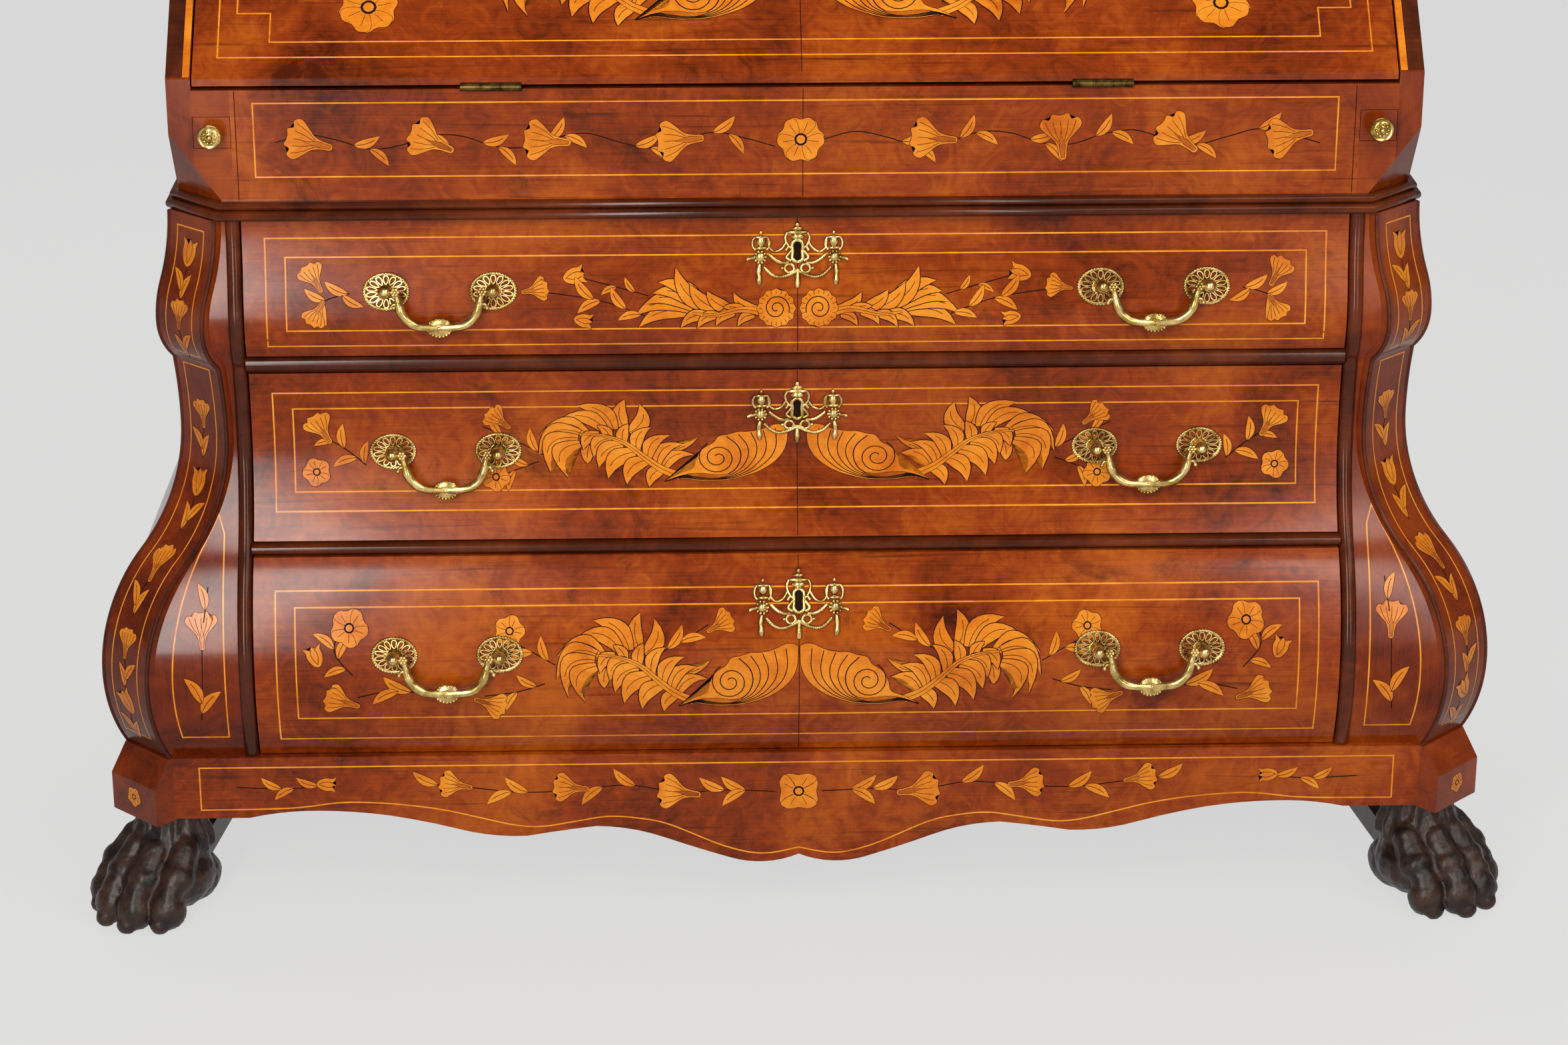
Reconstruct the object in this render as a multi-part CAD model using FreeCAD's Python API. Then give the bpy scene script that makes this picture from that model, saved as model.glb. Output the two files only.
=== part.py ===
import FreeCAD, Part
import math
import os

# Bombe bureau: a slant-front desk on a swelling chest of three drawers, with canted scroll
# consoles at the corners and paw feet. Millimetres, +Z up, front towards -Y, origin on the
# floor at the middle of the whole object.

Vec = FreeCAD.Vector
X_AXIS, Y_AXIS, Z_AXIS = Vec(1, 0, 0), Vec(0, 1, 0), Vec(0, 0, 1)
ROOT_HALF = math.sqrt(0.5)

# Overall sizes
CASE_WIDTH = 1131.0
CASE_DEPTH = 520.0
DESK_HEIGHT = 1100.0
FRIEZE_TOP = 786.0
WAIST_TOP = 684.0
WAIST_BOTTOM = 667.0
PLINTH_TOP = 164.0
PLINTH_BOTTOM = 101.0

# Boards
SIDE_BOARD = 22.0
CHEST_BOARD = 28.0
STILE_BOARD = 30.0
TOP_BOARD = 22.0
FRIEZE_BOARD = 24.0
FLOOR_BOARD = 18.0
BACK_BOARD = 12.0
BACK_BOARD_COUNT = 4
BOTTOM_BOARD = 14.0

# Swelling of the chest, in tangent arcs: how far out it stands at each turn, and at what height
BELLY_OUT, BELLY_Z = 75.0, 240.0
HOLLOW_OUT, HOLLOW_Z = -1.0, 463.0
NECK_OUT, NECK_Z = 2.7, 528.0
SHOULDER_OUT, SHOULDER_Z = 14.2, 565.0
BELLY_SHARE = 0.493
SHOULDER_SHARE = 0.365

# Canted corners
CANT_LEG = 45.0
CHAMFER_TOP = 746.0
CHEST_STEP = 2.0
CONSOLE_PROUD = 7.0
CONSOLE_DEPTH = 30.0

# Waist moulding
WAIST_OUT = 12.0
WAIST_STEP = 4.0
WAIST_TIER = 9.0
WAIST_BEVEL = 2.6

# Drawer openings and rails
OPENING_HALF = 506.0
DRAWER_GAP = 1.5
RAIL_HEIGHTS = {"upper": (522.0, 538.0), "lower": (354.0, 364.0)}
RAIL_BACK = 60.0
NOSING_PROUD = 5.0
BEAD_WIDTH = 13.0
BEAD_PROUD = 5.0
RUNNER_WIDTH = 36.0
GUIDE_SIZE = 14.0
RUN_GAP = 0.5

# Drawers
FRONT_THIN = 20.0
DRAWER_SIDE = 12.0
DRAWER_BOTTOM = 8.0
BOX_DROP = 18.0
BOX_INSET = 4.0
BOX_BACK_ROOM = 15.0
LOCK_WIDTH, LOCK_HEIGHT, LOCK_DEPTH = 70.0, 44.0, 13.0
LOCK_DROP = 8.0
KEYHOLE_HEIGHTS = {"top": 634.5, "middle": 482.5, "bottom": 314.0}
KEYHOLE_R = 3.0
KEYHOLE_SLOT = 9.0

# Bail handles: places on the drawers, in height above the floor
HANDLE_X = 326.0
HANDLE_SPAN = 97.5
HANDLE_HEIGHTS = {"top": 600.5, "middle": 444.0, "bottom": 269.0}
ROSETTE_WIDE, ROSETTE_HIGH, ROSETTE_THICK = 44.0, 35.0, 2.0
POST_REACH = 20.0
POST_R = 3.5
POST_FOOT_R = 7.0
BOSS_R = 5.5
BOSS_HALF = 5.0
BAIL_PIN_R = 1.5
BAIL_WIRE_R = 3.0
BAIL_DROP = 34.0
BAIL_FOOT_HALF = 30.0
BAIL_SHOULDER = 4.5
BAIL_BEND = 11.0
BEND_STEPS = 2
BAIL_SIDE_GAP = 0.7
MEDALLION_WIDE, MEDALLION_HIGH, MEDALLION_THICK = 28.0, 19.0, 4.0
PIN_FIT = 0.06
CAST_SIDES = 8
BAR_SIDES = 6
TURNED_SIDES = 12
OVAL_SIDES = 8
PIN_SIDES = 8

# Escutcheons
PLATE_THICK = 1.6
URN_SIDES = 6
SWAG_SAG = 17.0
SWAG_BAND = 4.0
URN_R = 9.0
URN_X = 36.0
SIDE_URN_UP = 7.0
FINIAL_TOP = 24.0
DROP_END = 31.0
TASSEL_END = 26.0
TASSEL_HALF = 2.0

# Fall front and its hinges
FALL_RUN = 293.09
FALL_BOARD = 24.0
FALL_GAP = 4.0
FALL_LIP = 6.5
FALL_SIDE_GAP = 1.5
FALL_END_GAP = 2.0
HINGE_X = 275.0
HINGE_LENGTH = 55.0
HINGE_PROUD = 1.0
KNUCKLE_COUNT = 3
KNUCKLE_R = 3.75
KNUCKLE_GAP = 0.3
HINGE_PIN_R = 1.5
LEAF_THICK = 1.8
LEAF_DEPTH = 19.0
NOTCH_GAP = 0.4

# Lopers
LOPER_Z = (733.0, 762.0)
LOPER_WIDTH = 34.0
LOPER_LENGTH = 440.0
LOPER_GAP = 0.5
GUIDE_BOARD = 9.0
KNOB_R = 11.0
KNOB_REACH = 24.0

# Well and its sliding cover
WELL_HALF = 212.0
WELL_FRONT = 62.0
SLIDE_LENGTH = 250.0
SLIDE_THICK = 8.0
SLIDE_GAP = 0.5
LEDGE = 14.0

# Fitted interior
NEST_FRONT = 312.0
NEST_BOARD = 8.0
NEST_TOP = 1066.0
NEST_DRAWER_TOP = 856.0
NEST_GAP = 1.0
PROSPECT_HALF = 67.0
PROSPECT_TOP = 931.0
PIGEONHOLES = 3
DOOR_THICK = 10.0
DOOR_GAP = 0.6
DOOR_PIN_R = 2.0
DOOR_PIN_LENGTH = 5.0
SMALL_KNOB_R = 6.0

# Plinth
PLINTH_BACK = 9.0
PLINTH_BOARD = 25.0
BLOCK_INSET = 2.066
BLOCK_HALF = 33.0
BLOCK_BACK = 20.0
BLOCK_SHOULDER = 138.0
BLOCK_LEDGE = 18.0
APRON_EDGE = ((0.0, -42.0), (0.058, -49.5), (0.15, -35.0), (0.306, -11.0), (0.41, -20.5),
              (0.565, -3.0), (0.687, 7.5), (0.816, 1.5))
EDGE_ARCS = 8

# Feet
PAW_TURN = 38.0
PAW_INSET = 42.0
PAW_SECTIONS = ((0.0, -30, 52, 42), (26.0, -34, 56, 44), (58.0, -32, 44, 37), (82.0, -30, 34, 31))
PAW_ANKLE = (-30, 32, 31)
PAW_CORNER = 0.38
TOES = ((58.0, -33.0), (78.0, -12.0), (78.0, 12.0), (58.0, 33.0))
TOE_R = 14.0
TOE_PATH = ((-46.0, 40.0, 0.8, 0.75), (-26.0, 47.0, 0.86, 0.95), (-10.0, 33.0, 0.94, 1.0),
            (-1.0, 14.0, 1.0, 1.0), (0.0, 0.0, 1.0, 1.0))
REAR_FOOT = 70.0
REAR_FOOT_TAPER = 12.0
REAR_FOOT_X = 530.0
STRETCHER_WIDTH = 34.0
STRETCHER_Z = (16.0, 42.0)

# Places worked out from the sizes above
HALF = CASE_WIDTH / 2
INSIDE = HALF - SIDE_BOARD
CHEST_HALF = HALF + CHEST_STEP
CANT_WIDTH = CANT_LEG / ROOT_HALF
PLINTH_OUT = BELLY_OUT - PLINTH_BACK
BLOCK_OUT = BELLY_OUT / ROOT_HALF - BLOCK_INSET
PAW_SEAT = BLOCK_OUT - PAW_INSET
PAW_AHEAD = math.radians(PAW_TURN)
BLOCK_X = CHEST_HALF + CONSOLE_PROUD - CANT_LEG / 2
PAW_X = BLOCK_X + PAW_SEAT * ROOT_HALF


def toe_reach():
    """How far the foremost toe stands in front of the frieze."""
    seat = CONSOLE_PROUD - CANT_LEG / 2 + PAW_SEAT * ROOT_HALF
    ahead = [ahead * math.cos(PAW_AHEAD) + across * math.sin(PAW_AHEAD) for ahead, across in TOES]
    return seat + max(ahead) + TOE_R


BACK_Y = (CASE_DEPTH + toe_reach()) / 2
FRIEZE_Y = BACK_Y - CASE_DEPTH
INNER_BACK = BACK_Y - BACK_BOARD
BLOCK_Y = FRIEZE_Y - CONSOLE_PROUD + CANT_LEG / 2
PAW_Y = BLOCK_Y - PAW_SEAT * ROOT_HALF
OUTWARD = Vec(-ROOT_HALF, -ROOT_HALF, 0)
ACROSS = Vec(ROOT_HALF, -ROOT_HALF, 0)
FALL_FOOT = FRIEZE_TOP + FALL_GAP
LIP_TOP = FALL_FOOT + FALL_LIP
SLOPE = math.atan2(DESK_HEIGHT - LIP_TOP, FALL_RUN)
FALL_LENGTH = (DESK_HEIGHT - LIP_TOP) / math.sin(SLOPE)
HINGE_Y = FRIEZE_Y - HINGE_PROUD
HINGE_Z = FRIEZE_TOP + FALL_GAP / 2
PLINTH_Y = FRIEZE_Y - PLINTH_OUT
PLINTH_SIDE_X = CHEST_HALF + PLINTH_OUT
FLOOR_BOTTOM = FRIEZE_TOP - FLOOR_BOARD
LOPER_INNER = INSIDE - LOPER_WIDTH
NEST_Y = FRIEZE_Y + NEST_FRONT
NEST_FLOOR = FRIEZE_TOP + NEST_BOARD
DRAWER_LEVELS = {
    "top": (RAIL_HEIGHTS["upper"][1] + DRAWER_GAP, WAIST_BOTTOM - DRAWER_GAP),
    "middle": (RAIL_HEIGHTS["lower"][1] + DRAWER_GAP, RAIL_HEIGHTS["upper"][0] - DRAWER_GAP),
    "bottom": (PLINTH_TOP + DRAWER_GAP, RAIL_HEIGHTS["lower"][0] - DRAWER_GAP),
}


def box(x_range, y_range, z_range):
    """Block between two values on each axis."""
    size = [high - low for low, high in (x_range, y_range, z_range)]
    return Part.makeBox(*size, Vec(x_range[0], y_range[0], z_range[0]))


def polygon_face(points):
    """Flat face with straight edges."""
    return Part.Face(Part.makePolygon(points + points[:1]))


def across_x(outline, x_low, x_high):
    """Solid from a (y, z) outline, between two x values."""
    face = polygon_face([Vec(x_low, y, z) for y, z in outline])
    return face.extrude(X_AXIS * (x_high - x_low))


def upright(outline, z_low, z_high):
    """Solid from an (x, y) outline, between two heights."""
    face = polygon_face([Vec(x, y, z_low) for x, y in outline])
    return face.extrude(Z_AXIS * (z_high - z_low))


def mirrored(shape):
    """The same piece on the right-hand side."""
    return shape.mirror(Vec(0, 0, 0), X_AXIS)


def pair(shape):
    """A left piece and its right twin, as separate solids."""
    return Part.makeCompound([shape, mirrored(shape)])


def swept_edges(points):
    """Flowing edge through points, in arcs that follow one another."""
    curve = Part.BSplineCurve()
    curve.interpolate(points)
    stops = curve.discretize(2 * EDGE_ARCS + 1)
    return [Part.Arc(*stops[index:index + 3]).toShape() for index in range(0, 2 * EDGE_ARCS, 2)]


def ring(centre, sides, half_u, half_v, u_axis, v_axis):
    """Corners of an oval with straight sides."""
    turns = [2 * math.pi * index / sides for index in range(sides)]
    return [centre + u_axis * (half_u * math.cos(turn)) + v_axis * (half_v * math.sin(turn))
            for turn in turns]


def stacked(rings):
    """Solid with flat facets through rings of corners that match one to one."""
    faces = [polygon_face(rings[0]), polygon_face(rings[-1])]
    for low, high in zip(rings, rings[1:]):
        count = len(low)
        for index in range(count):
            after = (index + 1) % count
            corners = [low[index], low[after], high[after], high[index]]
            normal = (corners[1] - corners[0]).cross(corners[3] - corners[0])
            if abs(normal.dot(corners[2] - corners[0])) < 1e-6 * normal.Length:
                faces.append(polygon_face(corners))
            else:
                faces += [polygon_face(corners[:3]), polygon_face([corners[0], corners[2], corners[3]])]
    solid = Part.makeSolid(Part.makeShell(faces))
    return solid if solid.Volume > 0 else solid.reversed()


def closed_face(edges):
    """Face inside a ring of edges."""
    return Part.Face(Part.Wire(Part.__sortEdges__(edges)))


# Swelling form of the chest

def upright_radius(rise, drop):
    """Radius of an arc that starts upright and leans by drop over a rise."""
    return (rise ** 2 + drop ** 2) / (2 * drop)


def sway(crest, crest_z, hollow, hollow_z, share):
    """Two tangent arcs from a crest up to a hollow: heights, centre, radius and bulge of each."""
    total = upright_radius(hollow_z - crest_z, crest - hollow)
    turn_z = crest_z + share * (hollow_z - crest_z)
    near, far = share * total, (1 - share) * total
    return [(crest_z, turn_z, crest - near, crest_z, near, 1),
            (turn_z, hollow_z, hollow + far, hollow_z, far, -1)]


def belly_arcs(stretch=1.0):
    """The chest's outline from plinth to waist, with its swell stretched for the diagonal."""
    belly, hollow, neck, shoulder = (stretch * out for out in
                                     (BELLY_OUT, HOLLOW_OUT, NECK_OUT, SHOULDER_OUT))
    lower = sway(belly, BELLY_Z, hollow, HOLLOW_Z, BELLY_SHARE)
    lower[0] = (PLINTH_TOP,) + lower[0][1:]
    neck_r = upright_radius(NECK_Z - HOLLOW_Z, neck - hollow)
    under_r = upright_radius(SHOULDER_Z - NECK_Z, shoulder - neck)
    middle = [(HOLLOW_Z, NECK_Z, hollow + neck_r, HOLLOW_Z, neck_r, -1),
              (NECK_Z, SHOULDER_Z, shoulder - under_r, SHOULDER_Z, under_r, 1)]
    return lower + middle + sway(shoulder, SHOULDER_Z, 0.0, WAIST_BOTTOM, SHOULDER_SHARE)


def out_on(arc, z):
    """How far out one arc stands at a height."""
    centre, centre_z, radius, bulge = arc[2:]
    return centre + bulge * math.sqrt(radius ** 2 - (z - centre_z) ** 2)


def belly_edges(place, offset, stretch=1.0):
    """The outline's arcs from the plinth up, put in space by place(out, z) and moved out by offset."""
    edges = []
    for arc in belly_arcs(stretch):
        heights = (arc[0], (arc[0] + arc[1]) / 2, arc[1])
        edges.append(Part.Arc(*[place(out_on(arc, z) + offset, z) for z in heights]).toShape())
    return edges


def swell_at(height):
    """How far the chest swells out at one height."""
    arcs = belly_arcs()
    arc = next((arc for arc in arcs if height <= arc[1]), arcs[-1])
    return out_on(arc, height)


def on_front(out, z):
    """Point on the chest's front."""
    return Vec(0, FRIEZE_Y - out, z)


def on_side(out, z):
    """Point on the chest's left side."""
    return Vec(-(CHEST_HALF + out), 0, z)


def on_cant(out, z):
    """Point on the left canted corner, out along the diagonal."""
    return Vec(-BLOCK_X, BLOCK_Y, z) + OUTWARD * out


def flat_backed_face(place, back, stretch=1.0):
    """Section of a swelling piece with a flat back."""
    front = belly_edges(place, 0.0, stretch)
    points = [front[0].Vertexes[0].Point, place(back, PLINTH_TOP), place(back, WAIST_BOTTOM),
              front[-1].Vertexes[-1].Point]
    return closed_face(front + [Part.makeLine(*ends) for ends in zip(points, points[1:])])


def curved_face(place, outer, inner):
    """Section of a swelling board, between two offsets from the outline."""
    outside, inside = belly_edges(place, outer), belly_edges(place, inner)
    foot = Part.makeLine(inside[0].Vertexes[0].Point, outside[0].Vertexes[0].Point)
    head = Part.makeLine(outside[-1].Vertexes[-1].Point, inside[-1].Vertexes[-1].Point)
    return closed_face(outside + inside + [foot, head])


def front_skin(outer, inner, x_low, x_high):
    """Swelling layer on the front between two offsets and two x values."""
    face = curved_face(on_front, outer, inner)
    face.translate(X_AXIS * x_low)
    return face.extrude(X_AXIS * (x_high - x_low))


def front_block(back, x_low, x_high):
    """Swelling front with a flat back, between two x values."""
    face = flat_backed_face(on_front, -back)
    face.translate(X_AXIS * x_low)
    return face.extrude(X_AXIS * (x_high - x_low))


def cant_line(side, along):
    """Point in plan on one side plane of the left console, this far along the diagonal."""
    start = Vec(-BLOCK_X, BLOCK_Y, 0)
    return start + ACROSS * (side * CANT_WIDTH / 2) + OUTWARD * along


def console():
    """Left corner console, a scroll-shaped block set at 45 degrees."""
    face = flat_backed_face(on_cant, -CONSOLE_DEPTH, 1 / ROOT_HALF)
    face.translate(ACROSS * (-CANT_WIDTH / 2))
    return face.extrude(ACROSS * CANT_WIDTH)


def stile():
    """Left shaped stile between drawers and console."""
    far = cant_line(1, 3 * BELLY_OUT)
    near_along = (OPENING_HALF + cant_line(1, 0).x) / ROOT_HALF
    near = cant_line(1, near_along)
    plan = [(far.x, far.y), (-OPENING_HALF, far.y), (near.x, near.y)]
    block = front_block(STILE_BOARD, far.x, -OPENING_HALF)
    return block.common(upright(plan, PLINTH_TOP, WAIST_BOTTOM))


def chest_side():
    """Left swelling side of the chest, from the console to the back."""
    far = cant_line(-1, 3 * BELLY_OUT)
    near = cant_line(-1, -3 * CHEST_BOARD)
    face = curved_face(on_side, 0.0, -CHEST_BOARD)
    face.translate(Y_AXIS * far.y)
    board = face.extrude(Y_AXIS * (BACK_Y - far.y))
    plan = [(far.x, far.y), (near.x, near.y), (near.x, BACK_Y), (far.x, BACK_Y)]
    return board.common(upright(plan, PLINTH_TOP, WAIST_BOTTOM))


def cock_bead():
    """Left bead beside the drawers, standing proud of the stile."""
    return front_skin(BEAD_PROUD, 0.0, -OPENING_HALF - BEAD_WIDTH, -OPENING_HALF)


def cock_beads():
    """Beads on both sides of the drawer openings."""
    return pair(cock_bead())


def rail(name):
    """Rail between two drawers, with a half-round nosing."""
    low, high = RAIL_HEIGHTS[name]
    round_r = (high - low) / 2
    middle = (low + high) / 2
    front = FRIEZE_Y - swell_at(middle) - NOSING_PROUD
    back = FRIEZE_Y + RAIL_BACK
    tangent = front + round_r
    nose = Part.Arc(Vec(0, tangent, low), Vec(0, front, middle), Vec(0, tangent, high)).toShape()
    edges = [nose, Part.makeLine(Vec(0, tangent, high), Vec(0, back, high)),
             Part.makeLine(Vec(0, back, high), Vec(0, back, low)),
             Part.makeLine(Vec(0, back, low), Vec(0, tangent, low))]
    face = closed_face(edges)
    face.translate(X_AXIS * -OPENING_HALF)
    return face.extrude(X_AXIS * (2 * OPENING_HALF))


def drawer_runners():
    """Runners behind the rails, and side guides on every level."""
    pieces = []
    for low, high in RAIL_HEIGHTS.values():
        reach = CHEST_HALF - CHEST_BOARD + min(swell_at(low), swell_at(high))
        x_range = (-reach, -OPENING_HALF + RUNNER_WIDTH)
        pieces.append(box(x_range, (FRIEZE_Y + RAIL_BACK, INNER_BACK), (low, high)))
    for level in (PLINTH_TOP, RAIL_HEIGHTS["lower"][1], RAIL_HEIGHTS["upper"][1]):
        x_range = (-OPENING_HALF - GUIDE_SIZE + BOX_INSET, -OPENING_HALF + BOX_INSET)
        pieces.append(box(x_range, (FRIEZE_Y + RAIL_BACK, INNER_BACK), (level, level + GUIDE_SIZE)))
    return Part.makeCompound(pieces + [mirrored(piece) for piece in pieces])


# Plinth and feet

def chest_bottom():
    """Floor of the chest, inside the plinth, with its front corners cut by the blocks."""
    side = PLINTH_SIDE_X - PLINTH_BOARD
    front = PLINTH_Y + PLINTH_BOARD
    floor = box((-side, side), (front, INNER_BACK), (PLINTH_TOP - BOTTOM_BOARD, PLINTH_TOP))
    block = plinth_block()
    return floor.cut(block).cut(mirrored(block))


def plinth_block():
    """Left canted block under the console, with a weathered top."""
    outline = [(-BLOCK_BACK, PLINTH_BOTTOM), (BLOCK_OUT, PLINTH_BOTTOM), (BLOCK_OUT, BLOCK_SHOULDER),
               (BLOCK_OUT - BLOCK_LEDGE, PLINTH_TOP), (-BLOCK_BACK, PLINTH_TOP)]
    start = Vec(-BLOCK_X, BLOCK_Y, 0) - ACROSS * BLOCK_HALF
    points = [start + OUTWARD * along + Z_AXIS * z for along, z in outline]
    return polygon_face(points).extrude(ACROSS * (2 * BLOCK_HALF))


def plinth_apron():
    """Front board of the plinth with its shaped lower edge, cut back to the blocks."""
    half = PLINTH_SIDE_X
    right = [Vec(share * half, PLINTH_Y, PLINTH_BOTTOM + drop) for share, drop in APRON_EDGE]
    left = [Vec(-point.x, point.y, point.z) for point in reversed(right)]
    end_z = right[-1].z
    rim = [right[-1], Vec(half, PLINTH_Y, end_z), Vec(half, PLINTH_Y, PLINTH_TOP),
           Vec(-half, PLINTH_Y, PLINTH_TOP), Vec(-half, PLINTH_Y, end_z), left[0]]
    edges = swept_edges(left) + swept_edges(right)
    edges += [Part.makeLine(*ends) for ends in zip(rim, rim[1:])]
    board = closed_face(edges).extrude(Y_AXIS * PLINTH_BOARD)
    beyond = beyond_block(1)
    return board.cut(beyond).cut(mirrored(beyond))


def beyond_block(side):
    """Room beyond the front (1) or the side (-1) of the left corner block, for cutting boards back."""
    edge = Vec(-BLOCK_X, BLOCK_Y, 0) + ACROSS * (side * BLOCK_HALF)
    reach = CASE_DEPTH
    near, far = edge - OUTWARD * reach, edge + OUTWARD * reach
    away = ACROSS * (-side * reach)
    return upright([(point.x, point.y) for point in (near, far, far + away, near + away)], 0, DESK_HEIGHT)


def plinth_sides():
    """Side boards of the plinth and the rail across its back."""
    side = box((-PLINTH_SIDE_X, -PLINTH_SIDE_X + PLINTH_BOARD), (PLINTH_Y, BACK_Y),
               (PLINTH_BOTTOM, PLINTH_TOP)).cut(beyond_block(-1))
    inner = PLINTH_SIDE_X - PLINTH_BOARD
    rear = box((-inner, inner), (BACK_Y - PLINTH_BOARD, BACK_Y),
               (PLINTH_BOTTOM, PLINTH_TOP - BOTTOM_BOARD))
    return Part.makeCompound([side, mirrored(side), rear])


def paw_section(back, front, half, z):
    """Outline of the paw at one height, a block with cut corners, in its own frame."""
    cut = PAW_CORNER * half
    return [Vec(x, y, z) for x, y in
            ((front, -half + cut), (front, half - cut), (front - cut, half), (back + cut, half),
             (back, half - cut), (back, -half + cut), (back + cut, -half), (front - cut, -half))]


def toe(ahead, across):
    """One toe, arched over its knuckle and bent down to the floor."""
    path = [Vec(ahead + back, across * splay, z) for back, z, splay, _ in TOE_PATH]
    rings = []
    for index, centre in enumerate(path):
        way = path[min(index + 1, len(path) - 1)] - path[max(index - 1, 0)]
        upward = X_AXIS if centre.z == 0 else way.cross(Y_AXIS).normalize()
        radius = TOE_R * TOE_PATH[index][3]
        rings.append(ring(centre, CAST_SIDES, radius, radius, Y_AXIS, upward))
    return stacked(rings)


def paw_foot():
    """Left front foot: ankle, pad and four toes, turned towards the corner."""
    sections = [paw_section(back, front, half, z) for z, back, front, half in PAW_SECTIONS]
    sections.append(paw_section(*PAW_ANKLE, PLINTH_BOTTOM))
    paw = stacked(sections)
    paw = paw.fuse([toe(ahead, across) for ahead, across in TOES]).removeSplitter()
    paw.rotate(Vec(0, 0, 0), Z_AXIS, -90 - PAW_TURN)
    paw.translate(Vec(-PAW_X, PAW_Y, 0))
    return paw


def rear_foot():
    """Left rear foot, a plain tapered block."""
    centre = Vec(-REAR_FOOT_X, BACK_Y - REAR_FOOT / 2, 0)
    corners = ((-1, -1), (1, -1), (1, 1), (-1, 1))
    levels = ((REAR_FOOT / 2 - REAR_FOOT_TAPER, 0.0), (REAR_FOOT / 2, PLINTH_BOTTOM))
    return stacked([[centre + Vec(x * half, y * half, z) for x, y in corners] for half, z in levels])


def stretcher():
    """Left side stretcher, from the paw's heel back to the rear foot."""
    half = STRETCHER_WIDTH / 2
    y_low, y_high = PAW_Y, BACK_Y - REAR_FOOT / 2
    plan = [(-PAW_X - half, y_low), (-PAW_X + half, y_low),
            (-REAR_FOOT_X + half, y_high), (-REAR_FOOT_X - half, y_high)]
    bar = upright(plan, *STRETCHER_Z)
    bar = bar.cut(paw_foot()).cut(rear_foot())
    return max(bar.Solids, key=lambda solid: solid.Volume)


# Desk case

def waist_outline(out):
    """Plan of the case at the waist, pushed out: front corner, side corner and back, on the left."""
    lean = out * math.tan(math.radians(22.5))
    return [(-(HALF - CANT_LEG + lean), FRIEZE_Y - out), (-(HALF + out), FRIEZE_Y + CANT_LEG - lean),
            (-(HALF + out), BACK_Y)]


def waist_board():
    """Board between chest and desk, with canted front corners."""
    left = waist_outline(0.0)
    plan = left + [(-x, y) for x, y in reversed(left)]
    return upright(plan, WAIST_BOTTOM, WAIST_TOP)


def moulding_run(inner, outer):
    """One mitred length of the waist moulding: two bevelled tiers over each other."""
    split = WAIST_BOTTOM + WAIST_TIER
    pieces = []
    for (wide, narrow), (low, high) in zip(outer, ((WAIST_BOTTOM, split), (split, WAIST_TOP))):
        levels = ((narrow, low), (wide, low + WAIST_BEVEL), (wide, high - WAIST_BEVEL), (narrow, high))
        rings = [[Vec(x, y, z) for x, y in (inner[0], inner[1], edge[1], edge[0])] for edge, z in levels]
        pieces.append(stacked(rings))
    return pieces[0].fuse(pieces[1]).removeSplitter()


def waist_moulding():
    """Stepped double bead round front, cants and sides, in five mitred lengths."""
    inner = waist_outline(0.0)
    tiers = []
    for out in (WAIST_OUT, WAIST_OUT - WAIST_STEP):
        tiers.append((waist_outline(out), waist_outline(out - WAIST_BEVEL)))
    runs = []
    for index in range(2):
        edges = [(wide[index:index + 2], narrow[index:index + 2]) for wide, narrow in tiers]
        runs.append(moulding_run(inner[index:index + 2], edges))
    across = [[(line[0], (-line[0][0], line[0][1])) for line in tier] for tier in tiers]
    front = moulding_run((inner[0], (-inner[0][0], inner[0][1])), across)
    return Part.makeCompound([front] + runs + [mirrored(run) for run in runs])


def stop_chamfer():
    """Wedge that cuts the left front corner, from nothing down to the full cant at the waist."""
    apex = Vec(-HALF, FRIEZE_Y, CHAMFER_TOP)
    inner = Vec(-HALF + CANT_LEG, FRIEZE_Y, WAIST_TOP)
    rear = Vec(-HALF, FRIEZE_Y + CANT_LEG, WAIST_TOP)
    corner = Vec(-HALF, FRIEZE_Y, WAIST_TOP)
    middle = (apex + inner + rear) * (1 / 3)
    far = middle + (corner - middle) * 10
    faces = [polygon_face(list(three)) for three in
             ((apex, inner, rear), (apex, inner, far), (inner, rear, far), (rear, apex, far))]
    return Part.makeSolid(Part.makeShell(faces))


def slope_point(along, inward=0.0):
    """Point (y, z) on the fall's outer face, or inside it."""
    y = FRIEZE_Y + along * math.cos(SLOPE) + inward * math.sin(SLOPE)
    z = LIP_TOP + along * math.sin(SLOPE) - inward * math.cos(SLOPE)
    return (y, z)


def desk_side():
    """Left side of the desk with its slanted front edge."""
    outline = [(FRIEZE_Y, WAIST_TOP), (FRIEZE_Y, LIP_TOP), slope_point(FALL_LENGTH),
               (BACK_Y, DESK_HEIGHT), (BACK_Y, WAIST_TOP)]
    return across_x(outline, -HALF, -INSIDE).cut(stop_chamfer())


def desk_top():
    """Top board, its front edge bevelled square to the fall."""
    nose = slope_point(FALL_LENGTH)
    under = slope_point(FALL_LENGTH, TOP_BOARD / math.cos(SLOPE))
    outline = [nose, (BACK_Y, DESK_HEIGHT), (BACK_Y, DESK_HEIGHT - TOP_BOARD), under]
    return across_x(outline, -INSIDE, INSIDE)


def frieze_panel():
    """Fixed front panel under the fall, let in for the hinges."""
    panel = box((-LOPER_INNER, LOPER_INNER), (FRIEZE_Y, FRIEZE_Y + FRIEZE_BOARD), (WAIST_TOP, FRIEZE_TOP))
    for x in (-HINGE_X, HINGE_X):
        span = (x - HINGE_LENGTH / 2, x + HINGE_LENGTH / 2)
        leaf = box(span, (HINGE_Y, FRIEZE_Y + LEAF_DEPTH), (FRIEZE_TOP - LEAF_THICK, FRIEZE_TOP))
        panel = panel.cut([leaf, hinge_rod(span, KNUCKLE_R + NOTCH_GAP)])
    return panel


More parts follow.
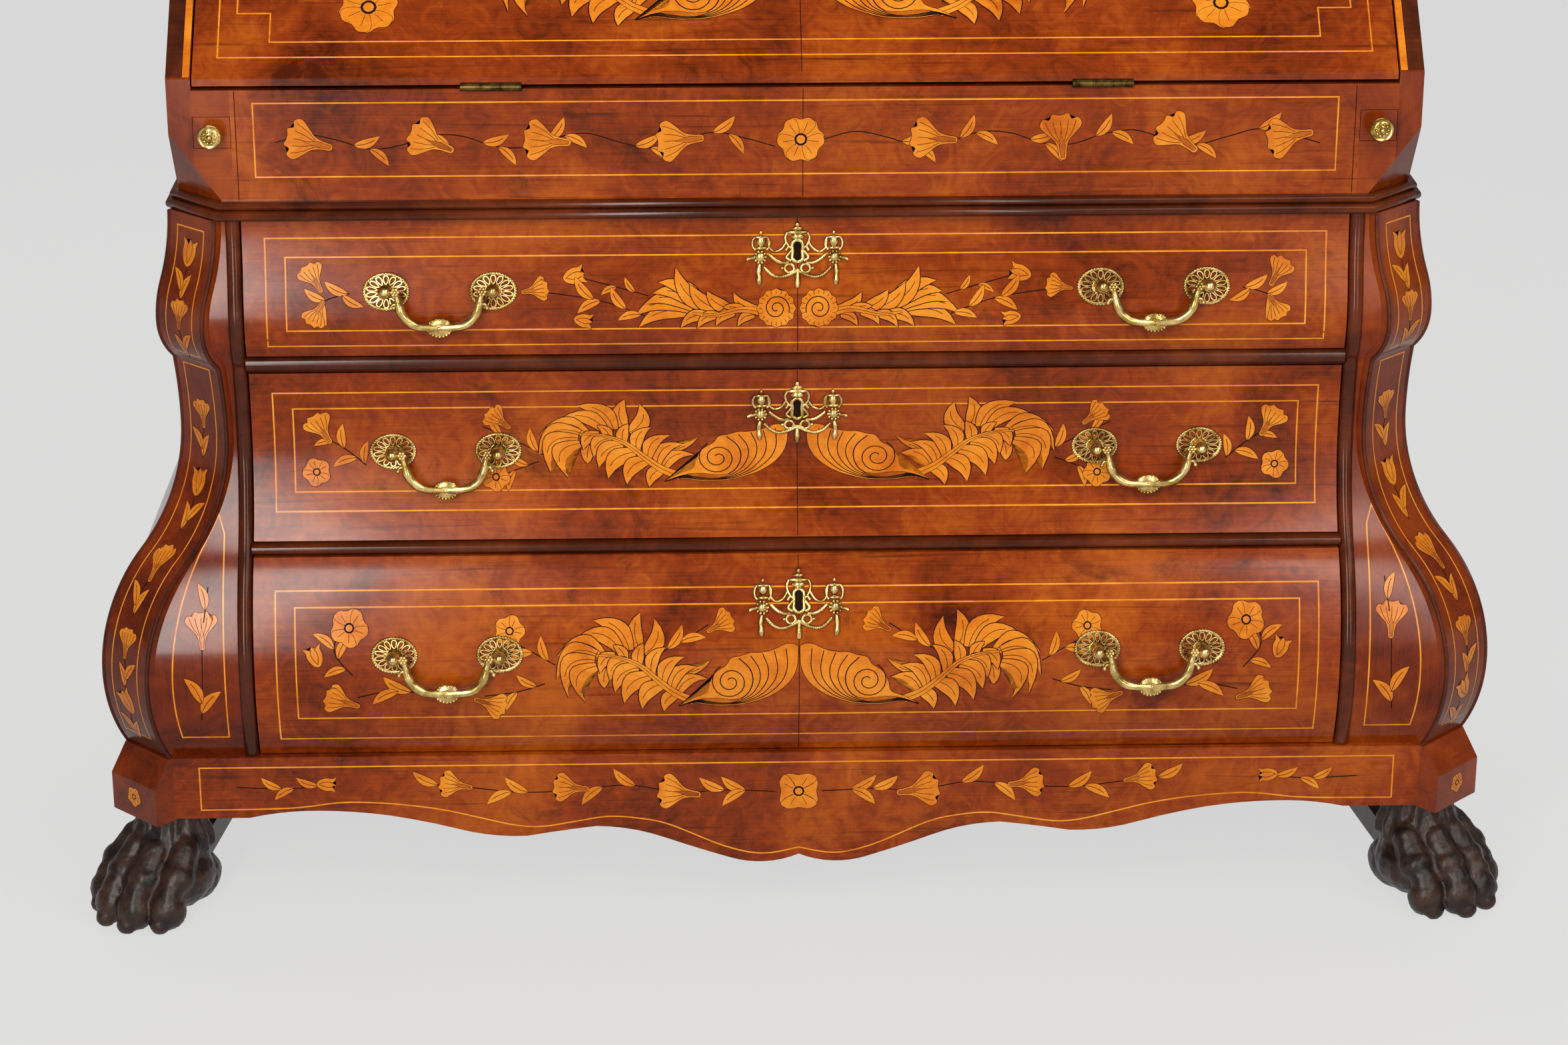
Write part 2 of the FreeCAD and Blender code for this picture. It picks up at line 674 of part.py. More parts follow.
def loper_blocks():
    """Corner blocks below and above the lopers, cut by the stop chamfer."""
    x_range = (-INSIDE, -LOPER_INNER)
    y_range = (FRIEZE_Y, FRIEZE_Y + FRIEZE_BOARD)
    below = box(x_range, y_range, (WAIST_TOP, LOPER_Z[0])).cut(stop_chamfer())
    above = box(x_range, y_range, (LOPER_Z[1], FRIEZE_TOP))
    return Part.makeCompound([below, above, mirrored(below), mirrored(above)])


def loper_guides():
    """Channel for each loper: runner below, keeper above, fence on the inner side."""
    y_range = (FRIEZE_Y + FRIEZE_BOARD, INNER_BACK)
    fence_x = -LOPER_INNER + GUIDE_BOARD
    runner = box((-INSIDE, fence_x), y_range, (LOPER_Z[0] - GUIDE_BOARD, LOPER_Z[0]))
    fence = box((-LOPER_INNER, fence_x), y_range, LOPER_Z)
    keeper = box((-INSIDE, fence_x), y_range, (LOPER_Z[1], FLOOR_BOTTOM))
    pieces = [runner, fence, keeper]
    return Part.makeCompound(pieces + [mirrored(piece) for piece in pieces])


def loper():
    """Left loper, a sliding bar that carries the open fall."""
    x_range = (-INSIDE + LOPER_GAP, -LOPER_INNER - LOPER_GAP)
    z_range = (LOPER_Z[0] + LOPER_GAP, LOPER_Z[1] - LOPER_GAP)
    return box(x_range, (FRIEZE_Y, FRIEZE_Y + LOPER_LENGTH), z_range)


def turned(profile, place, direction, sides=TURNED_SIDES):
    """Turned piece from a (radius, distance) outline, in flat facets round its axis."""
    across = X_AXIS if abs(direction.x) < ROOT_HALF else Z_AXIS
    upward = direction.cross(across)
    return stacked([ring(place + direction * along, sides, r, r, across, upward) for r, along in profile])


def loper_knob():
    """Left turned brass knob on the loper's front."""
    profile = ((6.5, 0), (6.5, 2), (3.6, 4), (3.6, 10), (6, 13), (KNOB_R, 15), (KNOB_R, 18),
               (8.5, 19.5), (8.5, 20.5), (4, KNOB_REACH))
    place = Vec(-(INSIDE + LOPER_INNER) / 2, FRIEZE_Y, sum(LOPER_Z) / 2)
    return turned(profile, place, Vec(0, -1, 0))


def back_boards():
    """Upright boards of the desk's and the chest's back."""
    thick = (INNER_BACK, BACK_Y)
    face = curved_face(on_side, -CHEST_BOARD, -2 * (CHEST_HALF + 2 * BELLY_OUT))
    face.translate(Y_AXIS * INNER_BACK)
    between = face.extrude(Y_AXIS * BACK_BOARD)
    between = between.common(mirrored(between))
    width = 2 * INSIDE / BACK_BOARD_COUNT
    pieces = []
    for index in range(BACK_BOARD_COUNT):
        low, high = -INSIDE + index * width, -INSIDE + (index + 1) * width
        pieces.append(box((low, high), thick, (WAIST_TOP, DESK_HEIGHT - TOP_BOARD)))
        if index == 0:
            low = -2 * CHEST_HALF
        if index == BACK_BOARD_COUNT - 1:
            high = 2 * CHEST_HALF
        pieces.append(box((low, high), thick, (PLINTH_TOP, WAIST_BOTTOM)).common(between))
    return Part.makeCompound(pieces)


def desk_floor():
    """Writing-level floor: boards round the well and ledges for its sliding cover."""
    level = (FLOOR_BOTTOM, FRIEZE_TOP)
    front = FRIEZE_Y + FRIEZE_BOARD
    well = FRIEZE_Y + WELL_FRONT
    ahead = box((-INSIDE, INSIDE), (front, well), level)
    side = box((-INSIDE, -WELL_HALF), (well, INNER_BACK), level)
    ledge_top = FRIEZE_TOP - SLIDE_THICK - 2 * SLIDE_GAP
    ledge = box((-WELL_HALF, -WELL_HALF + LEDGE), (well, INNER_BACK), (FLOOR_BOTTOM, ledge_top))
    return Part.makeCompound([ahead, side, mirrored(side), ledge, mirrored(ledge)])


def well_slide():
    """Sliding cover of the well, with a finger groove."""
    top = FRIEZE_TOP - SLIDE_GAP
    front = FRIEZE_Y + WELL_FRONT + SLIDE_GAP
    half = WELL_HALF - SLIDE_GAP
    cover = box((-half, half), (front, front + SLIDE_LENGTH), (top - SLIDE_THICK, top))
    start = Vec(-LEDGE * 2, front + LEDGE * 2, top + SLIDE_THICK / 2)
    groove = Part.makeCylinder(SLIDE_THICK, LEDGE * 4, start, X_AXIS)
    return cover.cut(groove)


# Fall front

def hinge_rod(span, radius):
    """Round bar on the fall's hinge axis."""
    return Part.makeCylinder(radius, span[1] - span[0], Vec(span[0], HINGE_Y, HINGE_Z), X_AXIS)


def hinge_leaf(x, fixed):
    """One leaf of a butt hinge with its knuckles; the fixed leaf also holds the pin."""
    pitch = HINGE_LENGTH / KNUCKLE_COUNT
    start = x - HINGE_LENGTH / 2
    plate_y = HINGE_Y + KNUCKLE_R + NOTCH_GAP
    level = FRIEZE_TOP - LEAF_THICK if fixed else FALL_FOOT
    z_range = (level, level + LEAF_THICK)
    leaf = box((start, start + HINGE_LENGTH), (plate_y, FRIEZE_Y + LEAF_DEPTH), z_range)
    knuckles = []
    for index in range(0 if fixed else 1, KNUCKLE_COUNT, 2):
        span = (start + index * pitch + KNUCKLE_GAP / 2, start + (index + 1) * pitch - KNUCKLE_GAP / 2)
        barrel = ((KNUCKLE_R, span[0]), (KNUCKLE_R, span[1]))
        knuckles.append(turned(barrel, Vec(0, HINGE_Y, HINGE_Z), X_AXIS))
        knuckles.append(box(span, (HINGE_Y, plate_y), z_range))
    leaf = leaf.fuse(knuckles)
    pin_span = (start + KNUCKLE_GAP, start + HINGE_LENGTH - KNUCKLE_GAP)
    if fixed:
        return leaf.fuse(hinge_rod(pin_span, HINGE_PIN_R)).removeSplitter()
    return leaf.cut(hinge_rod(pin_span, HINGE_PIN_R + PIN_FIT)).removeSplitter()


def hinge_leaves(fixed):
    """Both leaves of one kind."""
    return [hinge_leaf(x, fixed) for x in (-HINGE_X, HINGE_X)]


def on_fall(shape):
    """Move a piece from the fall's own frame (x, along the slope, out) to its place."""
    moved = shape.copy()
    moved.rotate(Vec(0, 0, 0), X_AXIS, math.degrees(SLOPE))
    moved.translate(Vec(0, FRIEZE_Y, LIP_TOP))
    return moved


def fall_end():
    """Length of the fall's outer face along the slope."""
    return FALL_LENGTH - FALL_END_GAP


def fall_lock_case():
    """Lock let into the fall's inner face, in the fall's frame."""
    high = fall_end() - LOCK_DROP
    return box((-LOCK_WIDTH / 2, LOCK_WIDTH / 2), (high - LOCK_HEIGHT, high),
               (-FALL_BOARD, -FALL_BOARD + LOCK_DEPTH))


def fall_key_place():
    """Keyhole's place along the fall."""
    return fall_end() - LOCK_DROP - LOCK_HEIGHT / 2


def fall_front():
    """Sloping writing flap, hung at its lower edge."""
    half = INSIDE - FALL_SIDE_GAP
    inner_foot = LIP_TOP - FALL_FOOT
    rise = (FALL_BOARD * math.cos(SLOPE) - inner_foot) / math.sin(SLOPE)
    outline = [(FRIEZE_Y, FALL_FOOT), (FRIEZE_Y, LIP_TOP), slope_point(fall_end()),
               slope_point(fall_end(), FALL_BOARD), slope_point(rise, FALL_BOARD)]
    flap = across_x(outline, -half, half)
    cuts = [on_fall(fall_lock_case()), on_fall(keyhole(fall_key_place(), FALL_BOARD, Z_AXIS))]
    for x in (-HINGE_X, HINGE_X):
        span = (x - HINGE_LENGTH / 2, x + HINGE_LENGTH / 2)
        cuts.append(box(span, (HINGE_Y, FRIEZE_Y + LEAF_DEPTH), (FALL_FOOT, FALL_FOOT + LEAF_THICK)))
        cuts.append(hinge_rod(span, KNUCKLE_R + NOTCH_GAP))
    return flap.cut(cuts)


def fall_brasses():
    """The fall's hinge leaves, lock and escutcheon."""
    plate = escutcheon_blank(fall_key_place(), PLATE_THICK, Z_AXIS)
    plate = plate.cut(keyhole(fall_key_place(), FALL_BOARD, Z_AXIS))
    return Part.makeCompound(hinge_leaves(False) + [on_fall(plate), on_fall(fall_lock_case())])


# Locks and escutcheons

def flat_outline(shape, normal):
    """Lay a piece drawn on the (x, y) plane against the front, where the height is z."""
    if normal == Z_AXIS:
        return shape
    turned_up = shape.copy()
    turned_up.rotate(Vec(0, 0, 0), X_AXIS, 90)
    return turned_up


def keyhole(height, depth, normal):
    """Cutter for a keyhole: a round hole over a slot."""
    eye = Part.makeCylinder(KEYHOLE_R, 2 * depth, Vec(0, height, -depth))
    slot = box((-KEYHOLE_R / 2, KEYHOLE_R / 2), (height - KEYHOLE_SLOT, height), (-depth, depth))
    return flat_outline(eye.fuse(slot), normal)


def escutcheon_blank(height, depth, normal):
    """Pierced plate: an urn round the keyhole with a finial and a drop, joined to side urns by swags."""
    def plate(points):
        return polygon_face([Vec(x, height + y, 0) for x, y in points]).extrude(Z_AXIS * depth)

    def urn(x, y):
        return plate([(corner.x, corner.y) for corner in
                      ring(Vec(x, y, 0), URN_SIDES, URN_R, URN_R, X_AXIS, Y_AXIS)])

    def bar(x, half, y_range):
        return box((x - half, x + half), (height + y_range[0], height + y_range[1]), (0, depth))

    pieces = [urn(0, 0), bar(0, URN_R / 2, (0, FINIAL_TOP)), bar(0, TASSEL_HALF, (-DROP_END, 0))]
    half = SWAG_BAND / 2
    for side in (-1, 1):
        sag = [(0, 0), (side * URN_X / 2, -SWAG_SAG), (side * URN_X, 0)]
        pieces.append(plate([(x, y + half) for x, y in sag] + [(x, y - half) for x, y in reversed(sag)]))
        pieces.append(urn(side * URN_X, SIDE_URN_UP))
        pieces.append(bar(side * URN_X, TASSEL_HALF, (-TASSEL_END, SIDE_URN_UP)))
    return flat_outline(pieces[0].fuse(pieces[1:]).removeSplitter(), normal)


def lock_case(name):
    """Lock let into the back of a drawer front."""
    high = DRAWER_LEVELS[name][1] - LOCK_DROP
    back = front_back(name)
    return box((-LOCK_WIDTH / 2, LOCK_WIDTH / 2), (back - LOCK_DEPTH, back), (high - LOCK_HEIGHT, high))


def lockset(name):
    """Escutcheon bent to the drawer front, and the lock behind it."""
    key = KEYHOLE_HEIGHTS[name]
    reach = FRIEZE_Y - PLINTH_OUT * 2
    blank = escutcheon_blank(key, PLINTH_OUT * 3, Y_AXIS)
    blank.translate(Y_AXIS * (reach + PLINTH_OUT * 3))
    hole = keyhole(key, CASE_DEPTH, Y_AXIS)
    plate = front_skin(PLATE_THICK, 0.0, -2 * URN_X, 2 * URN_X).common(blank).cut(hole)
    return [plate, lock_case(name)]


# Drawers

def front_back(name):
    """Flat inner face of a drawer front, where its thinnest place keeps its thickness."""
    low, high = DRAWER_LEVELS[name]
    steps = 20
    thinnest = min(swell_at(low + (high - low) * i / steps) for i in range(steps + 1))
    return FRIEZE_Y - thinnest + FRONT_THIN


def drawer_front(name):
    """Swelling drawer front, flat behind, let in for the lock and drilled for the key."""
    half = OPENING_HALF - DRAWER_GAP
    low, high = DRAWER_LEVELS[name]
    back = front_back(name)
    solid = front_block(back - FRIEZE_Y, -half, half)
    keep = box((-half, half), (FRIEZE_Y - 2 * BELLY_OUT, back), (low, high))
    hole = keyhole(KEYHOLE_HEIGHTS[name], CASE_DEPTH, Y_AXIS)
    return solid.common(keep).cut([lock_case(name), hole])


def drawer_box(name):
    """Sides, back and bottom of a drawer, as separate boards."""
    low, high = DRAWER_LEVELS[name]
    floor = low - DRAWER_GAP + RUN_GAP
    top = high - BOX_DROP
    half = OPENING_HALF - BOX_INSET - DRAWER_GAP
    y_range = (front_back(name), INNER_BACK - BOX_BACK_ROOM)
    inner = half - DRAWER_SIDE
    side = box((-half, -inner), y_range, (floor, top))
    rear = box((-inner, inner), (y_range[1] - DRAWER_SIDE, y_range[1]), (floor + DRAWER_BOTTOM, top))
    bottom = box((-inner, inner), y_range, (floor, floor + DRAWER_BOTTOM))
    return Part.makeCompound([side, mirrored(side), rear, bottom])


def post_base(name):
    """Where a handle's post leaves the drawer front, and its direction."""
    height = HANDLE_HEIGHTS[name]
    step = 1.0
    lean = (swell_at(height - step) - swell_at(height + step)) / (2 * step)
    direction = Vec(0, -1, lean).normalize()
    return Vec(0, FRIEZE_Y - swell_at(height), height), direction


def handle_axis(name):
    """Middle of a drawer's handle axis, at x = 0."""
    base, direction = post_base(name)
    return base + direction * POST_REACH


def rosettes(name):
    """Oval rosettes hollowed behind to the front, and on each a post drilled for the bail's pin."""
    base, direction = post_base(name)
    upward = direction.cross(X_AXIS)
    profile = ((POST_FOOT_R, ROSETTE_THICK), (POST_R, POST_REACH))
    reach = 2 * BOSS_HALF
    pieces = []
    for x in (HANDLE_X - HANDLE_SPAN / 2, HANDLE_X + HANDLE_SPAN / 2):
        at = base + X_AXIS * x
        oval = ring(at + direction * ROSETTE_THICK, OVAL_SIDES, ROSETTE_WIDE / 2, ROSETTE_HIGH / 2,
                    X_AXIS, upward)
        disc = polygon_face(oval).extrude(direction * -POST_REACH)
        pieces.append(disc.cut(front_skin(0.0, -BELLY_OUT, x - ROSETTE_WIDE, x + ROSETTE_WIDE)))
        axis = at + direction * POST_REACH
        boss = turned(((BOSS_R, -BOSS_HALF), (BOSS_R, BOSS_HALF)), axis, X_AXIS, CAST_SIDES)
        bore_r = (BAIL_PIN_R + PIN_FIT) / math.cos(math.pi / PIN_SIDES)
        bore = turned(((bore_r, -reach), (bore_r, reach)), axis, X_AXIS, PIN_SIDES)
        pieces.append(turned(profile, at, direction, CAST_SIDES).fuse(boss).cut(bore))
    return pieces + [mirrored(piece) for piece in pieces]


def brasses(name):
    """A drawer's fixed brass mounts: rosettes with posts, escutcheon and lock."""
    return Part.makeCompound(rosettes(name) + lockset(name))


def bent_path(points, radii):
    """Straight runs joined by bends, each bend in a few short straight steps."""
    path = [points[0]]
    for before, corner, after, radius in zip(points, points[1:], points[2:], radii):
        into = (before - corner).normalize()
        away = (after - corner).normalize()
        half_turn = (math.pi - into.getAngle(away)) / 2
        start = corner + into * (radius * math.tan(half_turn))
        centre = corner + (into + away).normalize() * (radius / math.cos(half_turn))
        axis = away.cross(into)
        for step in range(BEND_STEPS + 1):
            turn = FreeCAD.Rotation(axis, math.degrees(2 * half_turn * step / BEND_STEPS))
            path.append(centre + turn.multVec(start - centre))
    return path + [points[-1]]


def swept_bar(path, radius, flat_axis):
    """Bar with flat facets along a flat path, mitred at every corner."""
    rings = []
    for index, point in enumerate(path):
        before = (point - path[max(index - 1, 0)])
        after = (path[min(index + 1, len(path) - 1)] - point)
        ways = [way.normalize() for way in (before, after) if way.Length > 0]
        along = ways[0] + ways[-1]
        spread = 1 / math.cos(ways[0].getAngle(ways[-1]) / 2)
        side = flat_axis.cross(along).normalize()
        rings.append(ring(point, BAR_SIDES, radius * spread, radius, side, flat_axis))
    return stacked(rings)


def bail(name, side):
    """Swinging handle: a bent bar with an oval medallion, hung on two pins."""
    inner = HANDLE_SPAN / 2 - BOSS_HALF - BAIL_SIDE_GAP
    shoulder = inner - BAIL_SHOULDER - BAIL_WIRE_R
    points = [Vec(inner, 0, 0), Vec(shoulder, 0, 0), Vec(BAIL_FOOT_HALF, 0, -BAIL_DROP),
              Vec(-BAIL_FOOT_HALF, 0, -BAIL_DROP), Vec(-shoulder, 0, 0), Vec(-inner, 0, 0)]
    path = bent_path(points, (BAIL_SHOULDER, BAIL_BEND, BAIL_BEND, BAIL_SHOULDER))
    bar = swept_bar(path, BAIL_WIRE_R, Y_AXIS)
    middle = Vec(0, -MEDALLION_THICK / 2, -BAIL_DROP)
    oval = ring(middle, OVAL_SIDES, MEDALLION_WIDE / 2, MEDALLION_HIGH / 2, X_AXIS, Z_AXIS)
    medallion = polygon_face(oval).extrude(Y_AXIS * MEDALLION_THICK)
    pin_profile = ((BAIL_PIN_R, -1), (BAIL_PIN_R, 2 * BOSS_HALF + BAIL_SIDE_GAP - 1))
    pins = [turned(pin_profile, Vec(end * inner, 0, 0), X_AXIS * end, PIN_SIDES) for end in (-1, 1)]
    handle = bar.fuse([medallion] + pins).removeSplitter()
    handle.translate(handle_axis(name) + X_AXIS * (side * HANDLE_X))
    return handle


# Fitted interior

def nest_sides():
    """Left edges of the nest's upright boards on the left half, from the case side to the middle."""
    first = -INSIDE
    last = -PROSPECT_HALF - NEST_BOARD
    pitch = (last - first) / PIGEONHOLES
    return [first + pitch * index for index in range(PIGEONHOLES + 1)]


def pigeonhole_nest():
    """Open pigeonholes over two small drawers, with a small cupboard in the middle."""
    depth = (NEST_Y, INNER_BACK)
    uprights = nest_sides()
    base = box((-INSIDE, INSIDE), depth, (FRIEZE_TOP, NEST_FLOOR))
    roof = box((-INSIDE, INSIDE), depth, (NEST_TOP - NEST_BOARD, NEST_TOP))
    shelf_top = NEST_DRAWER_TOP + NEST_BOARD
    left = [box((uprights[0] + NEST_BOARD, uprights[-1]), depth, (NEST_DRAWER_TOP, shelf_top))]
    for index, x in enumerate(uprights):
        low = NEST_FLOOR if index in (0, PIGEONHOLES) else shelf_top
        left.append(box((x, x + NEST_BOARD), depth, (low, NEST_TOP - NEST_BOARD)))
    lintel = box((-PROSPECT_HALF, PROSPECT_HALF), depth, (PROSPECT_TOP, PROSPECT_TOP + NEST_BOARD))
    hole_r = (DOOR_PIN_R + PIN_FIT) / math.cos(math.pi / PIN_SIDES)
    hole = turned(((hole_r, 0), (hole_r, NEST_TOP)), door_axis(), Z_AXIS, PIN_SIDES)
    pieces = [base.cut(hole), roof, lintel.cut(hole)] + left
    return Part.makeCompound(pieces + [mirrored(piece) for piece in left])


def door_axis():
    """Pivot of the prospect door, in plan."""
    return Vec(-PROSPECT_HALF + DOOR_GAP + DOOR_THICK / 2, NEST_Y + DOOR_THICK / 2, 0)


def prospect_door():
    """Small door on pivot pins, with a rounded hanging edge and a knob."""
    axis = door_axis()
    z_range = (NEST_FLOOR + DOOR_GAP, PROSPECT_TOP - DOOR_GAP)
    panel = box((axis.x, PROSPECT_HALF - DOOR_GAP), (NEST_Y, NEST_Y + DOOR_THICK), z_range)
    edge = turned([(DOOR_THICK / 2, z) for z in z_range], axis, Z_AXIS)
    pin_ends = (z_range[0] - DOOR_PIN_LENGTH, z_range[1] + DOOR_PIN_LENGTH)
    pin = turned([(DOOR_PIN_R, z) for z in pin_ends], axis, Z_AXIS, PIN_SIDES)
    knob = small_knob(PROSPECT_HALF - 3 * SMALL_KNOB_R, sum(z_range) / 2)
    return panel.fuse([edge, pin, knob]).removeSplitter()


def small_knob(x, z):
    """Turned knob on the fitted interior."""
    profile = ((3, 0), (3, 5), (SMALL_KNOB_R, 8), (SMALL_KNOB_R, 11), (3, 14))
    return turned(profile, Vec(x, NEST_Y, z), Vec(0, -1, 0), CAST_SIDES)


def nest_drawer():
    """Left small drawer of the nest, as separate boards with a knob."""
    uprights = nest_sides()
    x_low, x_high = uprights[0] + NEST_BOARD + NEST_GAP, uprights[-1] - NEST_GAP
    z_low, z_high = NEST_FLOOR + NEST_GAP / 2, NEST_DRAWER_TOP - NEST_GAP
    front = box((x_low, x_high), (NEST_Y, NEST_Y + DOOR_THICK), (z_low, z_high))
    knob = small_knob((x_low + x_high) / 2, (z_low + z_high) / 2)
    y_range = (NEST_Y + DOOR_THICK, INNER_BACK - NEST_BOARD)
    wall = NEST_BOARD / 2
    top = z_high - wall
    bottom = box((x_low + wall, x_high - wall), y_range, (z_low, z_low + wall))
    sides = [box((x, x + wall), y_range, (z_low, top)) for x in (x_low, x_high - wall)]
    rear = box((x_low + wall, x_high - wall), (y_range[1] - wall, y_range[1]), (z_low + wall, top))
    return Part.makeCompound([front.fuse(knob), bottom, rear] + sides)


def build():
    """All nodes by name."""
    nodes = {
        "waist_board": waist_board(),
        "waist_moulding": waist_moulding(),
        "chest_bottom": chest_bottom(),
        "rail_upper": rail("upper"),
        "rail_lower": rail("lower"),
        "cock_beads": cock_beads(),
        "drawer_runners": drawer_runners(),
        "back_boards": back_boards(),
        "frieze_panel": frieze_panel(),
        "loper_blocks": loper_blocks(),
        "loper_guides": loper_guides(),
        "desk_floor": desk_floor(),
        "desk_top": desk_top(),
        "pigeonhole_nest": pigeonhole_nest(),
        "prospect_door": prospect_door(),
        "well_slide": well_slide(),
        "plinth_apron": plinth_apron(),
        "plinth_sides": plinth_sides(),
        "rear_feet": pair(rear_foot()),
        "stretchers": pair(stretcher()),
        "fall_front": fall_front(),
        "fall_brasses": fall_brasses(),
        "frieze_hinge_leaves": Part.makeCompound(hinge_leaves(True)),
    }
    handed = {"desk_side": desk_side, "chest_side": chest_side, "console": console, "stile": stile,
              "plinth_block": plinth_block, "paw_foot": paw_foot, "loper": loper,
              "loper_knob": loper_knob, "nest_drawer": nest_drawer}
    for name, make in handed.items():
        nodes[name + "_left"] = make()
        nodes[name + "_right"] = mirrored(nodes[name + "_left"])
    for name in DRAWER_LEVELS:
        nodes[f"drawer_{name}_front"] = drawer_front(name)
        nodes[f"drawer_{name}_box"] = drawer_box(name)
        nodes[f"drawer_{name}_brasses"] = brasses(name)
        nodes[f"bail_{name}_left"] = bail(name, -1)
        nodes[f"bail_{name}_right"] = bail(name, 1)
    return nodes


os.makedirs("parts", exist_ok=True)
for node_name, node_shape in build().items():
    node_shape.exportStep(f"parts/{node_name}.step")
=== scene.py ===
"""Looks of the bombe bureau: polished walnut, boxwood marquetry, cast brass and ebonised paws."""
import logging
import math
from dataclasses import dataclass, field, replace
from enum import Enum, StrEnum
from functools import cache
from typing import Iterable, Sequence

import bmesh
import bpy
from bpy.types import Material, Mesh, Node, NodeSocket, NodeTree, Object
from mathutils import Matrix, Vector, noise


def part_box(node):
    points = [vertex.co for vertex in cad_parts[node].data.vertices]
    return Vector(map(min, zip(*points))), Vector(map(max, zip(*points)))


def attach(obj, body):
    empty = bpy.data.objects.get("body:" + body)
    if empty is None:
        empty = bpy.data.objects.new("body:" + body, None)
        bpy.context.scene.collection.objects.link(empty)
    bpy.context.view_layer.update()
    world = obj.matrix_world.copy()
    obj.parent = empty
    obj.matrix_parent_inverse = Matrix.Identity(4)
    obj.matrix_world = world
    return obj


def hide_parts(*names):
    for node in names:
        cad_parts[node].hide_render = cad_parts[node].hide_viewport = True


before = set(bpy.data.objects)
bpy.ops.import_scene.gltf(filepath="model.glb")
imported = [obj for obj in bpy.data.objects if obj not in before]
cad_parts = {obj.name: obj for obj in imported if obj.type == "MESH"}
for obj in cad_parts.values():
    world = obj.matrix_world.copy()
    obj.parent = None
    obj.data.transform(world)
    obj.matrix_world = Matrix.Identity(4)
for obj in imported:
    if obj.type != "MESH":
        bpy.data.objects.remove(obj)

LOG = logging.getLogger("bureau")
MM = 0.001
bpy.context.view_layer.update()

Point = tuple[float, float]
Triple = tuple[float, float, float]
Rows = Sequence[Sequence[Sequence[float]]]

# Turns of the swelling outline: how far out it stands, and at what height, in millimetres
BELLY_OUT, BELLY_Z = 75.0, 240.0
HOLLOW_OUT, HOLLOW_Z = -1.0, 463.0
NECK_OUT, NECK_Z = 2.7, 528.0
SHOULDER_OUT, SHOULDER_Z = 14.2, 565.0
BELLY_SHARE, SHOULDER_SHARE = 0.493, 0.365
ROOT_HALF = math.sqrt(0.5)


class Side(StrEnum):
    """Sides of the bureau, seen from the front."""

    LEFT = "left"
    RIGHT = "right"

    @property
    def sign(self) -> int:
        """Direction of the side along x."""
        return -1 if self is Side.LEFT else 1


class Level(StrEnum):
    """The three drawers of the chest."""

    TOP = "top"
    MIDDLE = "middle"
    BOTTOM = "bottom"


def low(node: str) -> Vector:
    """Lowest corner of a CAD node in millimetres."""
    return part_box(node)[0] / MM


def high(node: str) -> Vector:
    """Highest corner of a CAD node in millimetres."""
    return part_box(node)[1] / MM


# Places taken from the frame, in millimetres
FRIEZE_Y = low("frieze_panel").y
BACK_Y = high("desk_side_left").y
CASE_HALF = high("desk_side_right").x
CHEST_HALF = CASE_HALF + 2.0
PLINTH_TOP = low("chest_side_left").z
WAIST_BOTTOM = high("chest_side_left").z
PLINTH_Y = low("plinth_apron").y
OPENING_HALF = high("rail_upper").x
CANT_LEG = 45.0
CONSOLE_PROUD = 7.0
BLOCK_X = CHEST_HALF + CONSOLE_PROUD - CANT_LEG / 2
BLOCK_Y = FRIEZE_Y - CONSOLE_PROUD + CANT_LEG / 2
CANT_WIDTH = CANT_LEG / ROOT_HALF


def ring(count: int, wide: float, tall: float, centre: Point = (0.0, 0.0)) -> list[Point]:
    """Points spread evenly round an oval.

    Args:
        count: count of points.
        wide: half its width.
        tall: half its height.
        centre: its middle.

    Returns:
        Points in order.
    """
    turns = [2 * math.pi * step / count for step in range(count)]
    return [(centre[0] + wide * math.cos(turn), centre[1] + tall * math.sin(turn)) for turn in turns]


# Swelling outline

@dataclass(frozen=True)
class Arc:
    """One arc of the outline, between two heights."""

    low: float
    high: float
    centre: float
    centre_z: float
    radius: float
    bulge: int

    def out(self, z: float) -> float:
        """How far out the arc stands at a height."""
        return self.centre + self.bulge * math.sqrt(self.radius ** 2 - (z - self.centre_z) ** 2)

    def lean(self, z: float) -> float:
        """Change of the swell with height."""
        rise = z - self.centre_z
        return -self.bulge * rise / math.sqrt(self.radius ** 2 - rise ** 2)


